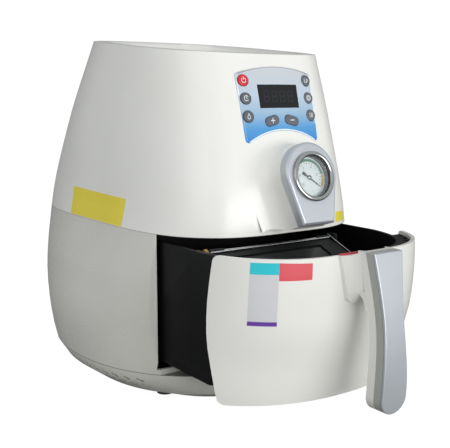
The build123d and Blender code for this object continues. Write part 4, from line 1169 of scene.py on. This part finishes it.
@dataclass
class Keypad:
    """The printed film, eight soft keys with their signs, and the display's unlit figures."""

    palette: Palette
    shift_y: float = -3.0
    tilt: float = 12.6
    key_radius: float = 5.0
    rise: float = 1.2
    root: float = 5.8
    rim: float = 0.8
    rim_start: float = 0.2
    dome: float = 0.1
    dome_rings: tuple[float, ...] = (0.7, 0.4, 0.05)
    sign_root: float = 0.15
    sign_height: float = 0.04
    oval_length: float = 15.0
    oval_width: float = 8.0
    longest_edge: float = 0.012
    digits: int = 4
    digit_pitch: float = 8.6
    digit_height: float = 9.0
    digit_width: float = 5.0
    digit_centre: float = 278.3
    digit_span: tuple[float, float] = (-0.4, -0.27)
    segment_width: float = 0.9
    segment_gap: float = 0.6
    keys: tuple[tuple[str, float, float, float, Symbol], ...] = (
        ("key_power", -34.0, 291.5, 0.0, Symbol.POWER),
        ("key_left_upper", -34.0, 276.5, 0.0, Symbol.CLOCK),
        ("key_left_lower", -34.0, 261.5, 0.0, Symbol.DROP),
        ("key_right_top", 34.0, 291.5, 0.0, Symbol.MUG),
        ("key_right_upper", 34.0, 276.5, 0.0, Symbol.PLATE),
        ("key_right_lower", 34.0, 261.5, 0.0, Symbol.HEAT),
        ("key_plus", -10.6, 257.7, 14.0, Symbol.PLUS),
        ("key_minus", 10.6, 257.7, -14.0, Symbol.MINUS),
    )

    def seat_at(self, x: float, z: float) -> Seat:
        """A seat on the film at a place across and a height.

        Args:
            x: The place across.
            z: The height.
        Returns:
            The seat.
        """
        lean = math.radians(self.tilt)
        spot = BODY.project(np.array([[x, -90.0, z]]), np.array([0.0, 1.0, 0.0]))[0]
        return Seat((x, spot[1] + self.shift_y, z), (1, 0, 0), (0, math.sin(lean), math.cos(lean)))

    def strokes(self, symbol: Symbol) -> list[np.ndarray]:
        """The outlines that make up a key's sign.

        Args:
            symbol: The sign.
        Returns:
            One outline for each stroke.
        """
        plate = [arc_band(2.1, 0.55, 0, 359.9, 48), arc_band(1.1, 0.4, 0, 359.9, 32)]
        mug_corners = [(-1.6, 1.6), (-1.6, -1.6), (0.8, -1.6), (0.8, 1.6)]
        mug = [bar(*start, *end, 0.5) for start, end in zip(mug_corners, mug_corners[1:])]
        heat_low = [bar(x, -1.8, x + 0.5, 0.1, 0.5) for x in (-1.5, 0, 1.5)]
        heat_high = [bar(x + 0.5, 0.1, x, 1.9, 0.5) for x in (-1.5, 0, 1.5)]
        drop = [bar(-1.2, -0.2, 0, 2.5, 0.5), bar(1.2, -0.2, 0, 2.5, 0.5)]
        signs = {
            Symbol.POWER: [arc_band(2.1, 0.6, -235, 55), bar(0, 0.6, 0, 2.9, 0.6)],
            Symbol.CLOCK: [arc_band(2.2, 0.6, 35, 325), bar(0, 0, 0, 1.4, 0.5), bar(0, 0, 1.0, 0, 0.5)],
            Symbol.DROP: [arc_band(1.35, 0.55, -215, 35) + [0, -0.9]] + drop,
            Symbol.MUG: mug + [arc_band(1.0, 0.5, -80, 80) + [1.0, 0.1]],
            Symbol.PLATE: plate,
            Symbol.HEAT: heat_low + heat_high,
            Symbol.PLUS: [bar(-1.9, 0, 1.9, 0, 0.75), bar(0, -1.9, 0, 1.9, 0.75)],
            Symbol.MINUS: [bar(-1.9, 0, 1.9, 0, 0.75)],
        }
        return signs[symbol]

    def cap(self, name: str, seat: Seat, outline: np.ndarray, finish: str) -> Piece:
        """A soft key: its outline drawn out of the panel, with a rolled rim and a slightly domed top.

        Args:
            name: The key's node.
            seat: Its place on the film.
            outline: Its outline.
            finish: Its finish.
        Returns:
            The cap.
        """
        shoulder = self.rise - self.rim - self.dome
        levels = [(-self.root, 0.0), (shoulder, 0.0)]
        for turn in np.linspace(self.rim_start, np.pi / 2, 6):
            levels.append((shoulder + self.rim * math.sin(turn), self.rim * (1 - math.cos(turn))))
        reach = np.linalg.norm(outline, axis=1).max()
        loops = [seat.place(*(outline * (1 - inward / reach)).T, height) for height, inward in levels]
        for share in self.dome_rings:
            loops.append(seat.place(*(outline * share).T, self.rise - self.dome * share**2))
        piece = stack(name + "_cap", np.array(loops))
        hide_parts(name)
        return self.palette.dress(piece, finish)

    def build(self) -> list[Piece]:
        """Builds the film, the caps and signs, which ride on their key's body, the rim and the figures.

        Returns:
            The keypad's pieces.
        """
        film = merged_copy("control_panel", "keypad_film", longest=self.longest_edge)
        true_normals(film, self.shift_y)
        self.palette.dress(film, "panel_film")
        made = [film]
        for name, x, z, lean, symbol in self.keys:
            seat = self.seat_at(x, z)
            oval = symbol in (Symbol.PLUS, Symbol.MINUS)
            size = (self.oval_length, self.oval_width) if oval else (2 * self.key_radius,) * 2
            finish = "key_red" if symbol is Symbol.POWER else "key_grey"
            cap = self.cap(name, seat, stadium(*size, 64, lean), finish)
            signs = []
            low, high = self.rise - self.sign_root, self.rise + self.sign_height
            for number, stroke in enumerate(self.strokes(symbol)):
                sign = seat.slab(f"{name}_sign_{number}", stroke, low, high)
                signs.append(self.palette.dress(sign, "ink_white"))
            for piece in [cap] + signs:
                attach(piece, name + "_body")
            made += [cap] + signs
        return made + self.border() + self.figures()

    def border(self) -> list[Piece]:
        """The pale rim round the print and the grey line along its crest.

        Returns:
            The four lines.
        """
        crest = bow(-38.5, 297.9, 5.3, 38.5)
        hollow = bow(-38.6, 238.2, 11.9, 38.6)
        right = np.stack([np.linspace(40.5, 38.6, 40), np.linspace(297.0, 238.4, 40)], 1)
        left = right * [-1, 1] + [0.2, 0]
        lines = [
            PrintedLine("border_crest_grey", crest, 0.5, "ink_grey"),
            PrintedLine("border_right", right, 0.9, "ink_pale"),
            PrintedLine("border_left", left, 1.4, "ink_pale"),
            PrintedLine("border_hollow", hollow, 1.0, "ink_pale"),
        ]
        return [line.build(self.palette) for line in lines]

    def figures(self) -> list[Piece]:
        """The display's unlit seven-segment figures, a shade lighter than the window.

        Returns:
            One piece for each segment.
        """
        seat = self.seat_at(0, self.digit_centre)
        made = []
        half, tall = self.digit_width / 2, self.digit_height / 2
        level = [(-half, rise, half, rise) for rise in (tall, 0, -tall)]
        upper = [(side, 0, side, tall) for side in (-half, half)]
        lower = [(side, -tall, side, 0) for side in (-half, half)]
        for digit in range(self.digits):
            centre = (digit - (self.digits - 1) / 2) * self.digit_pitch
            for number, (x0, y0, x1, y1) in enumerate(level + upper + lower):
                inset = np.array([x1 - x0, y1 - y0]) / math.hypot(x1 - x0, y1 - y0) * self.segment_gap
                start, end = np.array([x0, y0]) + inset, np.array([x1, y1]) - inset
                stroke = bar(*start, *end, self.segment_width) + [centre, 0]
                piece = seat.slab(f"figure_{digit}_{number}", stroke, *self.digit_span)
                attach(piece, "housing")
                made.append(self.palette.dress(piece, "segment"))
        return made


@dataclass(frozen=True)
class Sticker:
    """A bare vinyl sticker, given by the places of its corners near a skin, and pressed on to it."""

    name: str
    corners: tuple[tuple[float, float, float], ...]
    bands: tuple[tuple[float, float, str], ...]
    skin: str
    body: str = "housing"
    lift: float = 0.1
    steps: int = 36
    ray_start: float = 0.02

    def build(self, palette: Palette) -> list[Piece]:
        """Lays out each colour band as a grid between the corners and presses it on to the skin.

        Args:
            palette: Where its finishes come from.
        Returns:
            One object for each band.
        """
        tree = skin_of(self.skin)
        low_left, low_right, high_right, high_left = (np.array(corner, float) for corner in self.corners)
        out = Vector(np.cross(low_right - low_left, high_left - low_left)).normalized()
        made = []
        for number, (low, high, finish) in enumerate(self.bands):
            rows_up = np.linspace(low, high, max(4, int(self.steps * (high - low))))
            across, up = (grid[..., None] for grid in np.meshgrid(np.linspace(0, 1, self.steps), rows_up))
            foot = low_left * (1 - across) + low_right * across
            head = high_left * (1 - across) + high_right * across
            flat = foot * (1 - up) + head * up
            rows = []
            for point in flat.reshape(-1, 3) * MM:
                spot, normal, _, _ = tree.ray_cast(Vector(point) + out * self.ray_start, -out)
                rows.append(spot + normal * self.lift * MM)
            faces = grid_faces(*flat.shape[:2], wrap=False)
            piece = object_from(f"{self.name}_{number}", np.array(rows), faces)
            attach(piece, self.body)
            made.append(palette.dress(piece, finish))
        return made


@dataclass(frozen=True)
class PrintedLine:
    """A thin printed line along a path of places across and up, laid on the keypad's film."""

    name: str
    path: np.ndarray
    width: float
    finish: str
    skin: str = "keypad_film"
    lift: float = 0.05
    ray_from: float = -0.3
    film_way: float = 0.22

    def build(self, palette: Palette) -> Piece:
        """Runs two edges beside the path and presses them on to the film.

        Args:
            palette: Where its finish comes from.
        Returns:
            The line.
        """
        tree = skin_of(self.skin)
        run = np.gradient(self.path, axis=0)
        side = np.stack([-run[:, 1], run[:, 0]], 1) / np.linalg.norm(run, axis=1)[:, None] * self.width / 2
        rows = []
        for edge in (self.path - side, self.path + side):
            for x, z in edge * MM:
                start = Vector((x, self.ray_from, z))
                spot, normal, _, _ = tree.ray_cast(start, Vector((0, 1, 0)))
                if spot is None:
                    spot, normal, _, _ = tree.find_nearest(start + Vector((0, self.film_way, 0)))
                rows.append(spot + normal * self.lift * MM)
        piece = object_from(self.name, np.array(rows), grid_faces(2, len(self.path), wrap=False))
        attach(piece, "housing")
        return palette.dress(piece, self.finish)


def bow(x0: float, z0: float, rise: float, x1: float, steps: int = 48) -> np.ndarray:
    """An arc between two places at one height that rises by a given amount halfway.

    Args:
        x0: Where it starts, across.
        z0: The height of both its ends.
        rise: How much higher its middle is.
        x1: Where it ends, across.
        steps: How many points it has.
    Returns:
        Places across and up.
    """
    half = (x1 - x0) / 2
    radius = (half * half + rise * rise) / (2 * rise)
    across = np.linspace(-half, half, steps)
    up = np.sqrt(radius * radius - across * across) - (radius - rise)
    return np.stack([across + (x0 + x1) / 2, up + z0], 1)


@dataclass
class Drawer:
    """The white front, the black pan, the film frame's bright rod line and painted edge highlight, and the
    release's red tongue.
    """

    palette: Palette
    shift_y: float = -90.0
    longest_edge: float = 0.02
    frame_slope: float = 21.8
    frame_left: float = -86.0
    frame_right: float = 41.5
    side_length: float = 64.0
    hinge_edge: tuple[float, float] = (-106.4, 154.6)
    hinge_edge_radius: float = 0.7
    side_edge: tuple[float, float] = (-103.5, 156.9)
    side_edge_radius: float = 0.45
    tongue_x: tuple[float, float] = (-24.0, -1.5)
    tongue_y: tuple[float, float] = (-192.2, -189.4)
    tongue_z: tuple[float, float] = (159.1, 160.3)

    def build(self) -> list[Piece]:
        """Copies the front with the form's own normals, copies the pan and adds the small trims.

        Returns:
            The drawer's pieces.
        """
        front = merged_copy("drawer_front", "drawer_front_skin", longest=self.longest_edge)
        true_normals(front, self.shift_y)
        self.palette.dress(front, "drawer_white")
        pan = merged_copy("drawer_pan", "drawer_pan_rounded")
        self.palette.dress(pan, "pan_black")
        return [front, pan] + self.rod_and_edge_highlight() + [self.tongue()]

    def rod_and_edge_highlight(self) -> list[Piece]:
        """Two bright steel wires on the film frame: one along its hinge, for the bright rod there, and one
        down its right side, a painted highlight along the black frame's edge.

        Returns:
            The two wires.
        """
        slope = math.radians(self.frame_slope)
        left, right = (np.array([x, *self.hinge_edge]) for x in (self.frame_left, self.frame_right))
        back = np.array([self.frame_right, *self.side_edge])
        front = back - self.side_length * np.array([0, math.cos(slope), math.sin(slope)])
        made = [
            wire("frame_edge_back", left, right, self.hinge_edge_radius),
            # painted highlight: the right-hand wire's bright steel stands in for the highlight along the
            # black frame's right edge
            wire("frame_edge_right", back, front, self.side_edge_radius),
        ]
        for piece in made:
            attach(piece, "film_frame")
            self.palette.dress(piece, "bright_steel")
        return made

    def tongue(self) -> Piece:
        """The red tongue of the release, which shows as a thin line on top of the handle's root.

        Returns:
            The tongue.
        """
        (left, right), (front, back) = self.tongue_x, self.tongue_y
        corners = [(left, front), (right, front), (right, back), (left, back)]
        loops = np.array([[(x, y, z) for x, y in corners] for z in self.tongue_z]) * MM
        piece = stack("release_tongue", loops)
        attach(piece, "drawer")
        return self.palette.dress(piece, "release_red")


@dataclass
class Handle:
    """The hanging grip with its three layers, its root and the red release."""

    palette: Palette
    flatten: float = 0.5
    layers: tuple[tuple[str, str, str, float], ...] = (
        ("handle_plate", "silver", "silver", 1.0),
        ("handle_band", "grey_band", "grey_band", 0.4),
        ("handle_core", "drawer_white", "shell", 0.8),
        ("release_button", "release_red", "release_red", 0.5),
    )

    def build(self) -> list[Piece]:
        """Rounds each layer's edges and dresses it.

        Returns:
            The handle's pieces.
        """
        made = []
        for node, finish, slot, radius in self.layers:
            piece = merged_copy(node, node + "_rounded", flatten=self.flatten)
            soften(piece, radius)
            made.append(self.palette.dress(piece, finish))
        return made


@dataclass
class Workings:
    """Every other node, dressed in the finish of its own slot."""

    palette: Palette

    def build(self) -> list[Piece]:
        """Dresses each shown node by its record slot.

        Returns:
            The dressed nodes.
        """
        slots = {row["node"]: row["material_slot"] for row in frame["record"]["subparts"]}
        made = []
        for name, node in frame["nodes"].items():
            if node.hide_render:
                continue
            node.data.shade_smooth()
            node.data.set_sharp_from_angle(angle=math.radians(NODE_CREASE))
            made.append(self.palette.dress(node, slots[name]))
        return made


# ---------------------------------------------------------------- studio
@dataclass
class Studio:
    """A pale sweep, soft boxes and the camera."""

    target: tuple[float, float, float] = (0.0, -3.0, 156.5)
    azimuth: float = -34.88
    elevation: float = 9.13
    distance: float = 796.3
    lens: float = 66.3
    sensor: float = 36.0
    sky_tone: str = "#F3F5F8"
    sky_light: float = 0.79
    sky_seen: float = 1.2
    floor_near: float = -3.0
    floor_run: float = 2.2
    bend_radius: float = 1.2
    wall_height: float = 4.0
    half_width: float = 5.0
    paper_tone: str = "#8F8F8D"
    paper_roughness: float = 0.9
    paper_seen_tone: str = "#5C5C5B"
    paper_glow: float = 0.97
    lamps: tuple[tuple[str, tuple[float, float, float], tuple[float, float], float], ...] = (
        ("key_box", (0.19, -2.19, 0.34), (2.0, 0.6), 27.0),
        ("side_box", (-1.76, -0.94, 1.09), (1.4, 1.4), 5.0),
        ("strip_box", (-0.8, -1.51, 0.75), (0.1, 1.1), 0.35),
    )

    def sweep(self) -> Piece:
        """The floor, which turns up into a backdrop behind the machine: a plane, a quarter circle and a wall.

        Returns:
            The sweep.
        """
        turn = np.linspace(0, np.pi / 2, 24)
        bend = self.bend_radius
        away_run = self.floor_run + bend * np.sin(turn)
        run = np.concatenate([[self.floor_near], away_run, [self.floor_run + bend]])
        rise = np.concatenate([[0.0], bend * (1 - np.cos(turn)), [self.wall_height]])
        across = np.linspace(-self.half_width, self.half_width, 5)
        lean = math.radians(self.azimuth)
        away = np.array([-math.sin(lean), math.cos(lean), 0])
        side = np.array([math.cos(lean), math.sin(lean), 0])
        points = run[:, None, None] * away + across[None, :, None] * side
        points[..., 2] += rise[:, None]
        piece = object_from("studio_sweep", points, grid_faces(len(run), len(across), wrap=False))
        material, tree, shader = blank_material("white_paper")
        shader.inputs["Base Color"].default_value = linear(self.paper_tone)
        shader.inputs["Roughness"].default_value = self.paper_roughness
        glow = add(tree, "Emission", {"Color": linear("#FFFFFF"), "Strength": self.paper_glow})
        paper = add(tree, "BsdfDiffuse", {"Color": linear(self.paper_seen_tone)})
        seen = add(tree, "AddShader", None, {0: glow.outputs[0], 1: paper.outputs[0]})
        rays = add(tree, "LightPath")
        parts = {0: rays.outputs["Is Camera Ray"], 1: shader.outputs[0], 2: seen.outputs[0]}
        mix = add(tree, "MixShader", None, parts)
        tree.links.new(mix.outputs[0], tree.nodes["Material Output"].inputs["Surface"])
        piece.data.materials.append(material)
        return piece

    def soft_box(
        self, name: str, spot: tuple[float, float, float], size: tuple[float, float], power: float
    ) -> None:
        """A rectangular lamp that looks at the machine.

        Args:
            name: The lamp's name.
            spot: Its place in metres.
            size: Its width and height in metres.
            power: Its power in watts.
        """
        lamp = bpy.data.lights.new(name, "AREA")
        lamp.shape, lamp.energy = "RECTANGLE", power
        lamp.size, lamp.size_y = size
        holder = linked(name, lamp)
        holder.location = spot
        aim = Vector(self.target) * MM - Vector(spot)
        holder.rotation_euler = aim.to_track_quat("-Z", "Y").to_euler()

    def world(self) -> None:
        """A pale sky that lights softly and shows white to the camera."""
        sky = bpy.data.worlds.new("pale_sky")
        sky.use_nodes = True
        tree = sky.node_tree
        back = tree.nodes["Background"]
        back.inputs["Color"].default_value = linear(self.sky_tone)
        rays = add(tree, "LightPath")
        light = {"To Min": self.sky_light, "To Max": self.sky_seen}
        strength = add(tree, "MapRange", light, {"Value": rays.outputs["Is Camera Ray"]})
        tree.links.new(strength.outputs["Result"], back.inputs["Strength"])
        bpy.context.scene.world = sky

    def camera(self) -> None:
        """The camera, at its own azimuth, height and distance."""
        data = bpy.data.cameras.new("view")
        data.lens, data.sensor_width = self.lens, self.sensor
        holder = linked("view", data)
        lean, climb = math.radians(self.azimuth), math.radians(self.elevation)
        back = Vector((math.sin(lean) * math.cos(climb), -math.cos(lean) * math.cos(climb), math.sin(climb)))
        holder.location = (Vector(self.target) + back * self.distance) * MM
        holder.rotation_euler = (-back).to_track_quat("-Z", "Y").to_euler()
        bpy.context.scene.camera = holder

    def build(self) -> None:
        """Sets up the floor, the light, the sky and the camera."""
        self.sweep()
        for lamp in self.lamps:
            self.soft_box(*lamp)
        self.world()
        self.camera()
        bpy.context.scene.view_settings.view_transform = "Standard"


STICKERS = (
    Sticker(
        "side_sticker",
        ((-110.3, 106.3, 163.4), (-109.8, 2.2, 163.4), (-105.2, -0.7, 188.3), (-106.0, 105.2, 190.0)),
        ((0.0, 1.0, "vinyl_yellow"),),
        "upper_shell_skin",
    ),
    Sticker(
        "front_sticker",
        ((-89.6, -160.3, 107.6), (-71.6, -173.9, 107.2), (-72.3, -177.4, 156.6), (-88.0, -162.3, 156.5)),
        ((0.0, 0.07, "vinyl_purple"), (0.07, 0.82, "vinyl_grey"), (0.82, 1.0, "vinyl_teal")),
        "drawer_front_skin",
        "drawer",
    ),
    Sticker(
        "red_sticker",
        ((-72.3, -177.1, 142.9), (-48.4, -187.0, 142.8), (-48.6, -187.4, 155.6), (-72.2, -177.4, 156.6)),
        ((0.0, 1.0, "vinyl_red"),),
        "drawer_front_skin",
        "drawer",
    ),
    Sticker(
        "small_sticker",
        ((55.0, -98.6, 165.9), (72.5, -89.9, 165.4), (72.8, -88.8, 173.7), (55.4, -97.8, 175.3)),
        ((0.0, 1.0, "vinyl_yellow"),),
        "upper_shell_skin",
    ),
)


def main() -> None:
    """Builds the machine's looks, then the studio."""
    logging.basicConfig(level=logging.INFO, format="%(name)s: %(message)s")
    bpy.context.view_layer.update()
    palette = Palette()
    for assembly in (Housing(palette), Gauge(palette), Keypad(palette), Drawer(palette), Handle(palette)):
        pieces = assembly.build()
        log.info("%s: %d pieces", type(assembly).__name__, len(pieces))
    for sticker in STICKERS:
        log.info("%s: %d pieces", sticker.name, len(sticker.build(palette)))
    log.info("Workings: %d pieces", len(Workings(palette).build()))
    Studio().build()


if __name__ == "__main__":
    main()
